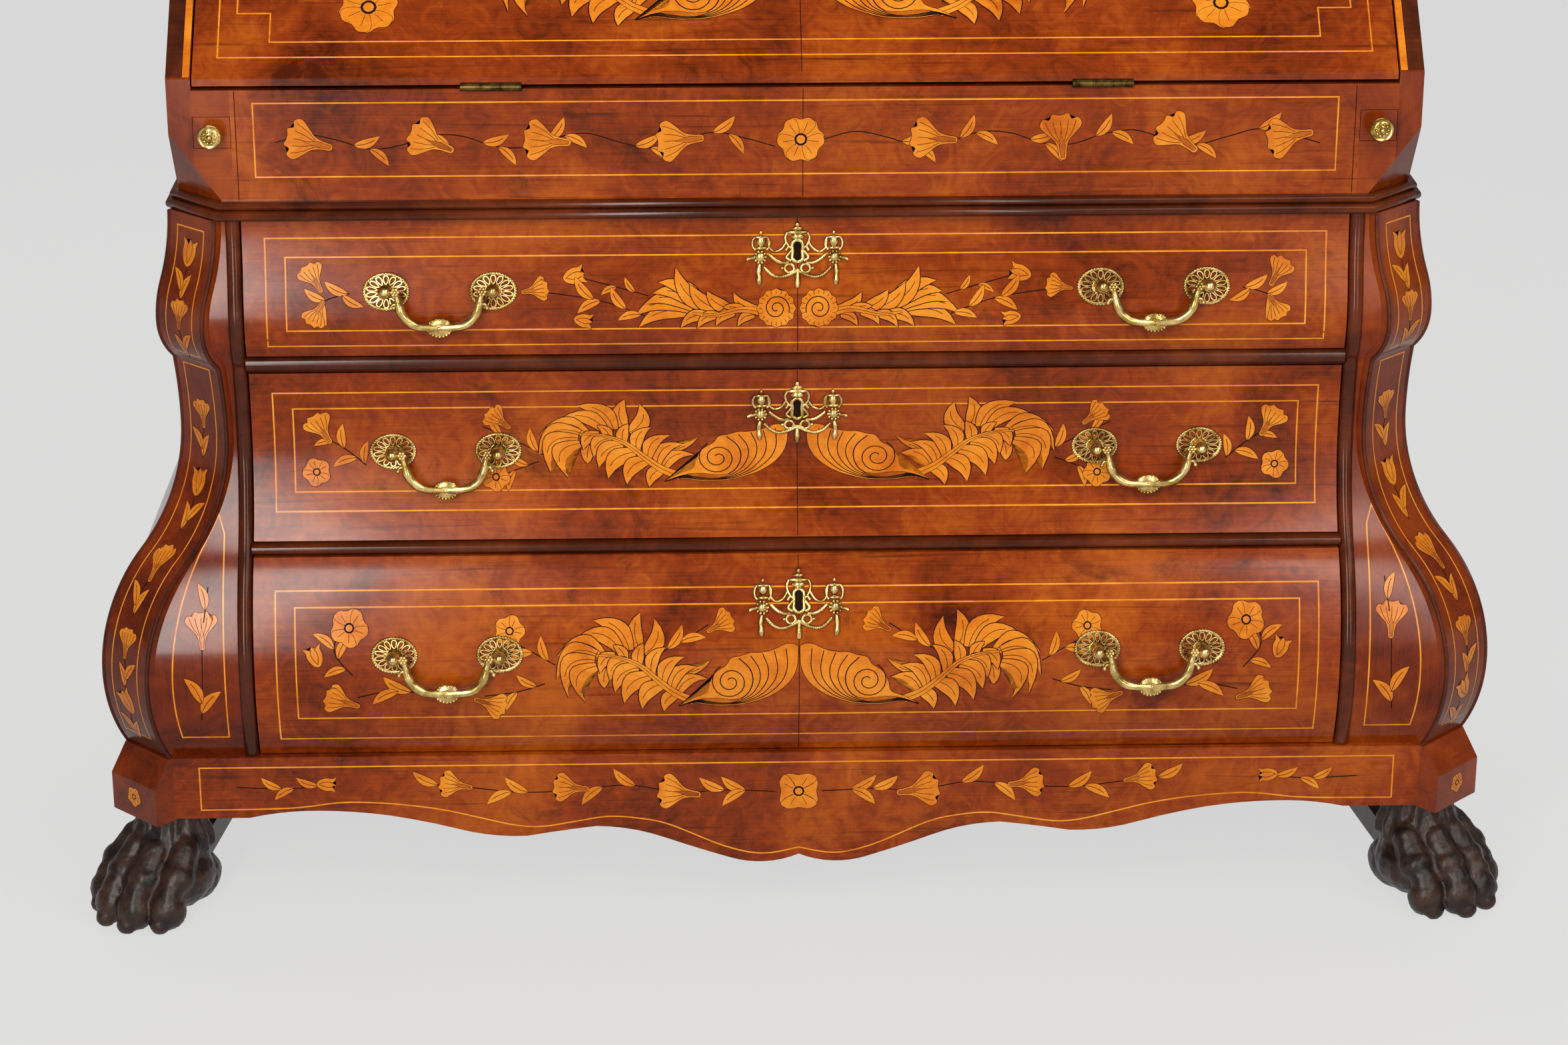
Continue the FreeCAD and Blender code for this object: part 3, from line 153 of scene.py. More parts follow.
class Swell:
    """Outline of the chest from plinth to waist, in tangent arcs."""

    def __init__(self, stretch: float = 1.0) -> None:
        """Lay out the arcs.

        Args:
            stretch: widening of the swell, more than 1 along the diagonal of a corner.
        """
        belly, hollow, neck, shoulder = (stretch * out for out in
                                         (BELLY_OUT, HOLLOW_OUT, NECK_OUT, SHOULDER_OUT))
        lower = self._sway(belly, BELLY_Z, hollow, HOLLOW_Z, BELLY_SHARE)
        lower[0] = replace(lower[0], low=PLINTH_TOP)
        neck_r = self._upright_radius(NECK_Z - HOLLOW_Z, neck - hollow)
        under_r = self._upright_radius(SHOULDER_Z - NECK_Z, shoulder - neck)
        middle = [Arc(HOLLOW_Z, NECK_Z, hollow + neck_r, HOLLOW_Z, neck_r, -1),
                  Arc(NECK_Z, SHOULDER_Z, shoulder - under_r, SHOULDER_Z, under_r, 1)]
        upper = self._sway(shoulder, SHOULDER_Z, 0.0, WAIST_BOTTOM, SHOULDER_SHARE)
        self.arcs: list[Arc] = lower + middle + upper

    @staticmethod
    def _upright_radius(rise: float, drop: float) -> float:
        """Radius of an arc that starts upright and leans by drop over a rise."""
        return (rise ** 2 + drop ** 2) / (2 * drop)

    @classmethod
    def _sway(cls, crest: float, crest_z: float, hollow: float, hollow_z: float, share: float) -> list[Arc]:
        """Two tangent arcs from a crest up to a hollow.

        Args:
            crest: how far out the crest stands.
            crest_z: its height.
            hollow: how far out the hollow stands.
            hollow_z: its height.
            share: share of the rise that the crest's arc takes.

        Returns:
            The crest's arc and the hollow's arc.
        """
        total = cls._upright_radius(hollow_z - crest_z, crest - hollow)
        turn = crest_z + share * (hollow_z - crest_z)
        near, far = share * total, (1 - share) * total
        return [Arc(crest_z, turn, crest - near, crest_z, near, 1),
                Arc(turn, hollow_z, hollow + far, hollow_z, far, -1)]

    def arc(self, z: float) -> Arc:
        """The arc that a height lies on."""
        return next((arc for arc in self.arcs if z <= arc.high), self.arcs[-1])

    def out(self, z: float) -> float:
        """How far out the chest stands at a height."""
        arc = self.arc(z)
        return arc.out(max(min(z, arc.high), self.arcs[0].low))

    def lean(self, z: float) -> float:
        """Change of the swell with height."""
        return self.arc(z).lean(max(min(z, WAIST_BOTTOM), PLINTH_TOP))

    def heights(self, step: float, start: float = PLINTH_TOP, end: float = WAIST_BOTTOM) -> list[float]:
        """Heights between two levels, with the turns of the outline among them.

        Args:
            step: greatest distance between two heights.
            start: lowest height.
            end: highest height.

        Returns:
            Heights in rising order.
        """
        stops = sorted({start, end} | {arc.high for arc in self.arcs if start < arc.high < end})
        result: list[float] = []
        for first, last in zip(stops, stops[1:]):
            count = max(1, math.ceil((last - first) / step))
            result += [first + (last - first) * index / count for index in range(count)]
        return result + [end]


FRONT_SWELL = Swell()
CORNER_SWELL = Swell(1 / ROOT_HALF)


# Faces that carry ornament

def cant_ways(sign: int) -> tuple[Vector, Vector]:
    """Directions out of and across a canted corner."""
    return Vector((sign * ROOT_HALF, -ROOT_HALF, 0)), Vector((ROOT_HALF, sign * ROOT_HALF, 0))


def cant_point(sign: int, out: float, u: float, v: float) -> Vector:
    """Point on a canted corner, some way out of its block, across it and up."""
    outward, across = cant_ways(sign)
    return Vector((sign * BLOCK_X, BLOCK_Y, v)) + outward * out + across * u


class Face:
    """A face with its own (u, v) plane in millimetres, which gives places in space."""

    row = 1000.0

    def place(self, u: float, v: float, lift: float) -> Vector:
        """Point in millimetres at (u, v), lifted off the face."""
        raise NotImplementedError


class BombeFront(Face):
    """The swelling front: u is x and v is the height."""

    row = 7.0

    def place(self, u: float, v: float, lift: float) -> Vector:
        """Point on the front, lifted along its normal."""
        normal = Vector((0, -1, -FRONT_SWELL.lean(v))).normalized()
        return Vector((u, FRIEZE_Y - FRONT_SWELL.out(v), v)) + normal * lift


@dataclass
class UprightFace(Face):
    """A flat upright front at one depth: u is x and v is the height."""

    y: float

    def place(self, u: float, v: float, lift: float) -> Vector:
        """Point on the flat front."""
        return Vector((u, self.y - lift, v))


@dataclass
class SlopeFace(Face):
    """The fall's outer face: u is x and v runs up the slope from its lower edge."""

    foot: Vector
    up: Vector

    def place(self, u: float, v: float, lift: float) -> Vector:
        """Point on the slope."""
        out = Vector((0, -self.up.z, self.up.y))
        return self.foot + Vector((u, 0, 0)) + self.up * v + out * lift


@dataclass
class ConsoleFace(Face):
    """The swelling face of a corner console: u runs across it from its middle, v is the height."""

    sign: int
    row = 2.5

    def place(self, u: float, v: float, lift: float) -> Vector:
        """Point on the console's face, lifted along its normal."""
        normal = (cant_ways(self.sign)[0] - Vector((0, 0, CORNER_SWELL.lean(v)))).normalized()
        return cant_point(self.sign, CORNER_SWELL.out(v), u, v) + normal * lift


@dataclass
class BlockFace(Face):
    """The upright canted face of a plinth block."""

    sign: int
    along: float

    def place(self, u: float, v: float, lift: float) -> Vector:
        """Point on the block's face."""
        return cant_point(self.sign, self.along + lift, u, v)


# Finishes

def linear(hex_colour: str) -> tuple[float, float, float, float]:
    """Linear colour from an sRGB hex value.

    Args:
        hex_colour: six hex digits.

    Returns:
        Red, green, blue and alpha.
    """
    parts = [int(hex_colour[index:index + 2], 16) / 255 for index in (0, 2, 4)]
    return tuple(part / 12.92 if part <= 0.04045 else ((part + 0.055) / 1.055) ** 2.4
                 for part in parts) + (1.0,)


def per_metre(size_mm: float) -> float:
    """Pattern scale that repeats once over a size in millimetres."""
    return 1000.0 / size_mm


def feed(tree: NodeTree, node: Node, links: dict) -> None:
    """Give a node its inputs.

    Args:
        tree: node tree that holds the node.
        node: node that takes them.
        links: input name or index to either a socket or a value.
    """
    for key, value in links.items():
        if isinstance(value, NodeSocket):
            tree.links.new(value, node.inputs[key])
        else:
            node.inputs[key].default_value = value


def add_node(tree: NodeTree, kind: str, links: dict | None = None, **settings: object) -> Node:
    """Add a node with its settings and links.

    Args:
        tree: node tree that takes the node.
        kind: Blender's name of the node.
        links: input name or index to either a socket or a value.
        settings: attributes set on the node.

    Returns:
        The new node.
    """
    node = tree.nodes.new(kind)
    for name, value in settings.items():
        setattr(node, name, value)
    feed(tree, node, links or {})
    return node


def set_ramp(node: Node, stops: Sequence[tuple[float, str]]) -> None:
    """Give a colour ramp its stops of place and hex colour.

    Args:
        node: the colour ramp.
        stops: place and colour of each stop.
    """
    elements = node.color_ramp.elements
    while len(elements) < len(stops):
        elements.new(0.5)
    for element, (place, colour) in zip(elements, stops):
        element.position = place
        element.color = linear(colour)


def blank_material(name: str) -> tuple[Material, NodeTree, NodeSocket]:
    """Start a material.

    Args:
        name: its name.

    Returns:
        The material, its node tree and the Object coordinates.
    """
    material = bpy.data.materials.new(name)
    material.use_nodes = True
    tree = material.node_tree
    return material, tree, add_node(tree, "ShaderNodeTexCoord").outputs["Object"]


@dataclass(frozen=True)
class Veneer:
    """French-polished wood: clouded colour, burr swirls, grain lines and dark stains under a gloss.

    The grain is drawn coarser than real pores, so that it shows from the camera.
    """

    name: str
    dark: str
    middle: str
    light: str
    stain: str
    cloud_mm: float = 170.0
    swirl_mm: float = 26.0
    grain_mm: float = 1.6
    stains: float = 0.75
    roughness: float = 0.19
    shine: float = 0.16
    grain_axis: int = 0
    mix: Triple = (0.62, 0.28, 0.12)
    stops: Triple = (0.36, 0.5, 0.66)
    coat: float = 0.08
    coat_roughness: float = 0.09
    bump: float = 0.12

    def material(self) -> Material:
        """Build the finish.

        Returns:
            The material.
        """
        material, tree, place = blank_material(self.name)
        along = self.grain_axis
        fine = [per_metre(self.grain_mm)] * 3
        fine[along] = per_metre(self.grain_mm * 40)
        broad = [per_metre(self.cloud_mm * 0.2)] * 3
        broad[along], broad[2 - along] = per_metre(self.cloud_mm * 1.2), per_metre(self.cloud_mm * 0.03)
        lines, bands = (
            add_node(tree, "ShaderNodeMapping", {"Vector": place, "Scale": scale}).outputs["Vector"]
            for scale in (fine, broad))
        clouds, swirls, grain, blots, streaks = (
            add_node(tree, "ShaderNodeTexNoise", {
                "Vector": vector, "Scale": scale, "Detail": detail, "Roughness": rough,
                "Distortion": twist}).outputs["Fac"]
            for vector, scale, detail, rough, twist in (
                (place, per_metre(self.cloud_mm), 5.0, 0.6, 0.6),
                (place, per_metre(self.swirl_mm), 6.0, 0.62, 2.2),
                (lines, 1.0, 2.0, 0.5, 0.4),
                (place, per_metre(self.cloud_mm * 0.7), 8.0, 0.7, 1.2),
                (bands, 1.0, 4.0, 0.65, 0.3)))
        blend = 0.0
        for pattern, share in zip((clouds, swirls, grain), self.mix):
            blend = add_node(tree, "ShaderNodeMath", {0: pattern, 1: share, 2: blend},
                             operation="MULTIPLY_ADD").outputs[0]
        tone = add_node(tree, "ShaderNodeValToRGB", {"Fac": blend})
        set_ramp(tone, tuple(zip(self.stops, (self.dark, self.middle, self.light))))
        colour = tone.outputs["Color"]
        for pattern, least, tint in ((blots, 0.57, self.stain), (streaks, 0.58, self.dark)):
            mask = add_node(tree, "ShaderNodeMapRange", {
                "Value": pattern, "From Min": least, "From Max": 0.72, "To Max": self.stains})
            colour = add_node(tree, "ShaderNodeMix", {
                "Factor": mask.outputs["Result"], "A": colour, "B": linear(tint)},
                data_type="RGBA").outputs["Result"]
        bump = add_node(tree, "ShaderNodeBump", {"Height": blend, "Strength": self.bump, "Distance": 0.0006})
        feed(tree, tree.nodes["Principled BSDF"], {
            "Base Color": colour, "Roughness": self.roughness, "Specular IOR Level": self.shine,
            "Coat Weight": self.coat, "Coat Roughness": self.coat_roughness,
            "Normal": bump.outputs["Normal"]})
        return material


@dataclass(frozen=True)
class Plain:
    """A finish with one clouded colour: cast metal, ebonised carving or the floor."""

    name: str
    dark: str
    light: str
    cloud_mm: float
    roughness: float
    metallic: float = 0.0
    bump: float = 0.0
    shine: float = 0.5

    def material(self) -> Material:
        """Build the finish.

        Returns:
            The material.
        """
        material, tree, place = blank_material(self.name)
        noises = add_node(tree, "ShaderNodeTexNoise", {
            "Vector": place, "Scale": per_metre(self.cloud_mm), "Detail": 5.0, "Roughness": 0.6})
        clouds = noises.outputs["Fac"]
        tone = add_node(tree, "ShaderNodeValToRGB", {"Fac": clouds})
        set_ramp(tone, ((0.38, self.dark), (0.62, self.light)))
        looks = {"Base Color": tone.outputs["Color"], "Roughness": self.roughness, "Metallic": self.metallic,
                 "Specular IOR Level": self.shine}
        if self.bump:
            bump = add_node(tree, "ShaderNodeBump", {
                "Height": clouds, "Strength": self.bump, "Distance": 0.001})
            looks["Normal"] = bump.outputs["Normal"]
        feed(tree, tree.nodes["Principled BSDF"], looks)
        return material


class Finish(Enum):
    """Every finish of the bureau."""

    # Figured veneer under French polish: clouds of red brown with burr swirls and old dark stains
    BURR = Veneer("burr_walnut_veneer", "481602", "84320A", "AC5412", "1A0802")
    # Plain sawn walnut, polished: the same red brown, calmer, with long grain lines
    STRAIGHT = Veneer("straight_walnut", "4E1904", "7C2E08", "9C460E", "260E04", swirl_mm=60.0, stains=0.5)
    # The same walnut with its grain on end, darker where hands and wax have toned it
    UPRIGHT = Veneer("walnut_with_upright_grain", "401303", "6E2607", "923F0C", "1E0A03", swirl_mm=60.0,
                     stains=0.5, grain_axis=2)
    # Shaped and polished walnut mouldings: nearly black brown with soft lights on the rounds
    DARK = Veneer("dark_walnut_moulding", "2A1007", "4A1D0B", "6E3012", "180904", swirl_mm=60.0, stains=0.4)
    # Sawn boxwood under old varnish: warm orange gold, clouded within each cut piece
    BOXWOOD = Veneer("boxwood_inlay", "B45810", "D2781A", "E4922C", "8A3E0C", cloud_mm=60.0, stains=0.35)
    # Boxwood dipped in hot sand: toasted brown shadow in throats and folds
    SCORCHED = Veneer("sand_scorched_boxwood", "783208", "A65010", "C46E1A", "562406", cloud_mm=40.0,
                      stains=0.3)
    # Thin boxwood lines: the brightest gold, broken here and there by wear
    STRINGING = Veneer("boxwood_stringing", "C86C14", "E08A22", "EBA23A", "8A3E0C", cloud_mm=60.0, stains=0.5)
    # Planed and waxed oak boards: dull grey brown with upright grain and hardly any gloss
    OAK = Veneer("waxed_oak", "573118", "7C4C28", "A0703F", "3E2412", swirl_mm=120.0, grain_mm=2.4,
                 stains=0.4, roughness=0.55, grain_axis=2)
    # Cut lines filled with black mastic: matt brown black; the keyhole is a flat piece of it, painted shade
    # for the hollow
    INK = Plain("engraved_line_and_keyhole_shade", "120602", "240E04", 30.0, 0.75, shine=0.1)
    # Carved and blacked wood, rubbed with wax: uneven brown black with small soft glints
    EBONY = Plain("ebonised_carving", "150C07", "38231A", 18.0, 0.4, bump=0.7, shine=0.35)
    # Cast, chased and lacquered brass: pale gold with clear lights
    BRASS = Plain("cast_brass", "A0823F", "E4C684", 12.0, 0.27, metallic=1.0)
    # Brass darkened to brown with only a dim gleam: painted shade for the hinge knuckles in the dark gap
    # under the fall, also used on the fall's brasses
    OLD_BRASS = Plain("brass_darkened_as_painted_shade", "33240F", "6A5228", 9.0, 0.45, metallic=1.0)
    # Painted studio floor: flat grey that shows the shadow under its glow
    FLOOR = Plain("studio_floor", "525252", "545454", 900.0, 0.9)


@cache
def material_of(finish: Finish) -> Material:
    """The material of a finish, made once."""
    return finish.value.material()


# Meshes

class Shape:
    """Corners and faces in millimetres, gathered into one piece."""

    def __init__(self) -> None:
        """Start with nothing."""
        self.corners: list[Vector] = []
        self.faces: list[tuple[int, ...]] = []

    def add(self, corners: Iterable[Sequence[float]], faces: Iterable[Sequence[int]]) -> "Shape":
        """Add corners and the faces between them.

        Args:
            corners: places of the corners.
            faces: numbers of each face's corners.

        Returns:
            This shape.
        """
        start = len(self.corners)
        self.corners += [Vector(corner) for corner in corners]
        self.faces += [tuple(start + index for index in face) for face in faces]
        return self

    def skin(self, rows: Rows, closed: bool = False, capped: bool = False) -> "Shape":
        """Add a skin through rows of corners.

        Args:
            rows: rows with the same count of corners.
            closed: whether each row joins up with its own start.
            capped: whether the first and last row get a face.

        Returns:
            This shape.
        """
        width = len(rows[0])
        faces: list[tuple[int, ...]] = []
        for row in range(len(rows) - 1):
            for index in range(width if closed else width - 1):
                after = (index + 1) % width
                faces.append((row * width + index, row * width + after,
                              (row + 1) * width + after, (row + 1) * width + index))
        if capped:
            last = (len(rows) - 1) * width
            faces.append(tuple(reversed(range(width))))
            faces.append(tuple(range(last, last + width)))
        return self.add([corner for row in rows for corner in row], faces)

    def solid(self, rows: Rows) -> "Shape":
        """Add a closed solid through rows of corners."""
        return self.skin(rows, closed=True, capped=True)

    def block(self, first: Sequence[float], last: Sequence[float]) -> None:
        """Add a box between two corners.

        Args:
            first: lowest corner.
            last: highest corner.
        """
        around = ((0, 0), (1, 0), (1, 1), (0, 1))
        ends = (first, last)
        self.solid([[(ends[x][0], ends[y][1], ends[z][2]) for x, y in around] for z in (0, 1)])

    def tube(self, path: Sequence[Vector], radii: Sequence[float], sides: int = 10,
             normals: Sequence[Vector] | None = None, closed: bool = False) -> None:
        """Add a round bar along a path.

        Args:
            path: points of its middle line.
            radii: radius at each point.
            sides: corners round it.
            normals: a direction square to the path at each point, or None to carry one along.
            closed: whether the bar joins up with its own start.
        """
        rows = []
        count = len(path)
        upward = Vector((0, 0, 1))
        for index, (point, radius) in enumerate(zip(path, radii)):
            after = path[(index + 1) % count] if closed else path[min(index + 1, count - 1)]
            before = path[index - 1] if closed else path[max(index - 1, 0)]
            way = (after - before).normalized()
            if normals:
                upward = normals[index]
            elif abs(way.dot(upward)) > 0.95:
                upward = Vector((0, 1, 0)) if abs(way.y) < 0.9 else Vector((1, 0, 0))
            across = way.cross(upward).normalized()
            upward = across.cross(way).normalized()
            rows.append([point + across * u + upward * v for u, v in ring(sides, radius, radius)])
        self.skin(rows + rows[:1] if closed else rows, closed=True, capped=not closed)

    def turned(self, base: Vector, direction: Vector, profile: Sequence[Point], sides: int) -> None:
        """Add a turned piece from its (radius, distance) outline.

        Args:
            base: middle of its foot.
            direction: way that it stands.
            profile: radius and distance from the foot.
            sides: corners round it.
        """
        across = direction.cross(Vector((1, 0, 0))).normalized()
        other = direction.cross(across)
        self.solid([[base + direction * along + across * u + other * v
                     for u, v in ring(sides, radius, radius)] for radius, along in profile])

    def ball(self, centre: Vector, size: Sequence[float], rings: int = 8, sides: int = 12) -> None:
        """Add a ball or egg with its poles along z.

        Args:
            centre: its middle.
            size: half its width, depth and height.
            rings: bands from pole to pole.
            sides: corners round it.
        """
        rows = []
        for band in range(1, rings):
            tilt = math.pi * band / rings
            rows.append([centre + Vector((u, v, -size[2] * math.cos(tilt))) for u, v in
                         ring(sides, size[0] * math.sin(tilt), size[1] * math.sin(tilt))])
        start = len(self.corners)
        self.skin(rows, closed=True)
        bottom, top = len(self.corners), len(self.corners) + 1
        self.corners += [centre - Vector((0, 0, size[2])), centre + Vector((0, 0, size[2]))]
        last = start + (rings - 2) * sides
        for turn in range(sides):
            after = (turn + 1) % sides
            self.faces.append((bottom, start + after, start + turn))
            self.faces.append((top, last + turn, last + after))

    def piece(self, name: str, finish: Finish, smooth_angle: float = 40.0) -> Object:
        """Make the finished object.

        Args:
            name: name of the piece.
            finish: its finish.
            smooth_angle: edges sharper than this many degrees stay crisp.

        Returns:
            The object, with its normals outwards.
        """
        mesh = bpy.data.meshes.new(name)
        mesh.from_pydata([corner * MM for corner in self.corners], [], self.faces)
        work = bmesh.new()
        work.from_mesh(mesh)
        bmesh.ops.remove_doubles(work, verts=work.verts, dist=1e-7)
        bmesh.ops.recalc_face_normals(work, faces=work.faces)
        work.to_mesh(mesh)
        work.free()
        return finish_object(name, mesh, finish, smooth_angle)


def finish_object(name: str, mesh: Mesh, finish: Finish, smooth_angle: float) -> Object:
    """Put a mesh into the scene with its finish.

    Args:
        name: name of the piece.
        mesh: its mesh, in place.
        finish: its finish.
        smooth_angle: edges sharper than this many degrees stay crisp.

    Returns:
        The object.
    """
    mesh.polygons.foreach_set("use_smooth", [True] * len(mesh.polygons))
    mesh.set_sharp_from_angle(angle=math.radians(smooth_angle))
    mesh.materials.append(material_of(finish))
    piece = bpy.data.objects.new(name, mesh)
    bpy.context.scene.collection.objects.link(piece)
    return piece


def settle(piece: Object, body: str, slot: str, *nodes: str) -> None:
    """Ride a piece on its body and hide the nodes it stands for.

    Args:
        piece: the finished piece.
        body: CAD body that carries it.
        slot: the record's material slot; not used.
        nodes: CAD nodes that it replaces.
    """
    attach(piece, body)
    if nodes:
        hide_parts(*nodes)
    LOG.info("%s: %d faces on %s", piece.name, len(piece.data.polygons), body)


# Veneered carcass

@dataclass
class Chest:
    """Swelling parts of the chest: drawer fronts, stiles, sides, consoles and beads."""

    step: float = 5.0
    bead_proud: float = 5.0
    bead_width: float = 13.0
    side_board: float = 28.0
    bead_turns: int = 7
    console_back: float = -30.0
    edge_radius: float = 2.3
    edge_sink: float = 0.8

    def build(self) -> None:
        """Build every swelling piece."""
        for level in Level:
            self.drawer_front(level)
        for side in Side:
            self.stile(side)
            self.chest_side(side)
            self.console(side)
        self.beads()

    def drawer_front(self, level: Level) -> None:
        """One drawer front with its swelling face.

        Args:
            level: which drawer.
        """
        node = f"drawer_{level}_front"
        first, last = low(node), high(node)
        rows = []
        for z in FRONT_SWELL.heights(self.step, first.z, last.z):
            front = FRIEZE_Y - FRONT_SWELL.out(z)
            rows.append([(first.x, last.y, z), (first.x, front, z), (last.x, front, z), (last.x, last.y, z)])
        piece = Shape().solid(rows).piece(f"{level}_drawer_front", Finish.BURR)
        settle(piece, f"drawer_{level}", "walnut", node)

    def stile(self, side: Side) -> None:
        """One shaped stile, cut on the slant beside the console.

        Args:
            side: which side.
        """
        inner, sign = OPENING_HALF, side.sign
        edge_x, edge_y = self._cant_edge(-1)
        back = high(f"stile_{side}").y
        outer_back = max(edge_x + (edge_y - back), inner)
        inner_back = min(back, edge_y + edge_x - inner)
        rows = []
        for z in FRONT_SWELL.heights(self.step):
            front = FRIEZE_Y - FRONT_SWELL.out(z)
            outer_front = edge_x + (edge_y - front)
            rows.append([(sign * inner, inner_back, z), (sign * inner, front, z),
                         (sign * outer_front, front, z), (sign * outer_back, inner_back, z)])
        piece = Shape().solid(rows).piece(f"{side}_stile", Finish.UPRIGHT)
        settle(piece, "carcass", "walnut", f"stile_{side}")

    @staticmethod
    def _cant_edge(sign: int) -> Point:
        """Plan point on the right console's front (-1) or rear (1) side plane."""
        half = CANT_WIDTH / 2 * ROOT_HALF
        return BLOCK_X + sign * half, BLOCK_Y + sign * half

    def chest_side(self, side: Side) -> None:
        """One swelling side, cut on the slant behind the console.

        Args:
            side: which side.
        """
        sign = side.sign
        edge_x, edge_y = self._cant_edge(1)
        rows = []
        for z in FRONT_SWELL.heights(self.step):
            outer = CHEST_HALF + FRONT_SWELL.out(z)
            inner = outer - self.side_board
            rows.append([(sign * outer, edge_y - (outer - edge_x), z), (sign * outer, BACK_Y, z),
                         (sign * inner, BACK_Y, z), (sign * inner, edge_y - (inner - edge_x), z)])
        piece = Shape().solid(rows).piece(f"{side}_chest_side", Finish.UPRIGHT)
        settle(piece, "carcass", "walnut", f"chest_side_{side}")

    def console(self, side: Side) -> None:
        """One scroll-shaped corner console.

        Args:
            side: which side.
        """
        face = ConsoleFace(side.sign)
        half = CANT_WIDTH / 2
        outward, _ = cant_ways(side.sign)
        rows = []
        for z in CORNER_SWELL.heights(self.step):
            depth = CORNER_SWELL.out(z) - self.console_back
            corners = [face.place(u, z, 0.0) for u in (-half, half)]
            rows.append([corners[0] - outward * depth, corners[0], corners[1], corners[1] - outward * depth])
        piece = Shape().solid(rows).piece(f"{side}_console", Finish.UPRIGHT)
        settle(piece, "carcass", "walnut", f"console_{side}")
        edges = Shape()
        heights = CORNER_SWELL.heights(self.step, PLINTH_TOP + 1, WAIST_BOTTOM - 1)
        for u in (-half, half):
            edges.tube([face.place(u, z, -self.edge_sink) for z in heights],
                       [self.edge_radius] * len(heights), 8)
        settle(edges.piece(f"{side}_console_edges", Finish.DARK), "carcass", "walnut")

    def beads(self) -> None:
        """Half-round beads beside the drawers."""
        shape = Shape()
        face = BombeFront()
        half = self.bead_width / 2
        turns = [math.pi * turn / self.bead_turns for turn in range(self.bead_turns + 1)]
        for side in (-1, 1):
            middle = side * (OPENING_HALF + half)
            shape.solid([[face.place(middle + half * math.cos(turn), z, self.bead_proud * math.sin(turn))
                          for turn in turns] for z in FRONT_SWELL.heights(self.step)])
        settle(shape.piece("drawer_opening_beads", Finish.DARK), "carcass", "walnut", "cock_beads")


@dataclass
class Mouldings:
    """Waist moulding and drawer rails with rounded noses."""

    waist_out: float = 12.0
    waist_step: float = 4.0
    waist_split: float = 0.54
    turns: int = 8
    smooth_angle: float = 50.0

    def build(self) -> None:
        """Build the waist moulding and both rails."""
        self.waist()
        for name in ("upper", "lower"):
            self.rail(name)

    def _section(self, bottom: float, top: float) -> list[Point]:
        """Two half-round beads over each other, as distance out and height.

        Args:
            bottom: lowest height.
            top: highest height.

        Returns:
            Points of the outline, from the bottom up.
        """
        split = bottom + (top - bottom) * self.waist_split
        points: list[Point] = [(0.0, bottom)]
        for start, end, out in ((bottom, split, self.waist_out),
                                (split, top, self.waist_out - self.waist_step)):
            half = (end - start) / 2
            for turn in range(self.turns + 1):
                angle = -math.pi / 2 + math.pi * turn / self.turns
                points.append((out - half + half * math.cos(angle), start + half + half * math.sin(angle)))
        return points + [(0.0, top)]

    def waist(self) -> None:
        """Mitred double bead round front, cants and sides."""
        section = self._section(low("waist_moulding").z, high("waist_moulding").z)
        lean = math.tan(math.pi / 8)
        rows = []
        for side, corner in ((-1, 2), (-1, 1), (-1, 0), (1, 0), (1, 1), (1, 2)):
            row = []
            for out, z in section:
                shift = out * lean
                x, y = ((CASE_HALF - CANT_LEG + shift, FRIEZE_Y - out),
                        (CASE_HALF + out, FRIEZE_Y + CANT_LEG - shift), (CASE_HALF + out, BACK_Y))[corner]
                row.append((side * x, y, z))
            rows.append(row)
        piece = Shape().solid(rows).piece("waist_double_bead", Finish.DARK, self.smooth_angle)
        settle(piece, "carcass", "walnut", "waist_moulding")

    def rail(self, name: str) -> None:
        """One rail between drawers.

        Args:
            name: which rail.
        """
        node = f"rail_{name}"
        first, last = low(node), high(node)
        radius = (last.z - first.z) / 2
        nose = [(last.y, first.z)]
        for turn in range(self.turns + 1):
            angle = -math.pi / 2 + math.pi * turn / self.turns
            nose.append((first.y + radius - radius * math.cos(angle),
                         first.z + radius + radius * math.sin(angle)))
        nose.append((last.y, last.z))
        rows = [[(x, y, z) for y, z in nose] for x in (first.x, last.x)]
        piece = Shape().solid(rows).piece(f"{name}_drawer_rail", Finish.DARK, self.smooth_angle)
        settle(piece, "carcass", "walnut", node)


@dataclass
class BackBoards:
    """Open joints between the wide oak boards of the back."""

    count: int = 4
    width: float = 1.6
    proud: float = 0.3
    margin: float = 3.0

    def build(self) -> None:
        """Draw each joint as a thin dark strip above and below the waist."""
        inside = -high("desk_side_left").x
        y = high("back_boards").y
        spans = ((low("back_boards").z, low("waist_board").z), (high("waist_board").z, high("back_boards").z))
        shape = Shape()
        for index in range(1, self.count):
            x = inside * (2 * index / self.count - 1)
            for bottom, top in spans:
                shape.block((x - self.width / 2, y, bottom + self.margin),
                            (x + self.width / 2, y + self.proud, top - self.margin))
        settle(shape.piece("back_board_joints", Finish.INK), "carcass", "oak")


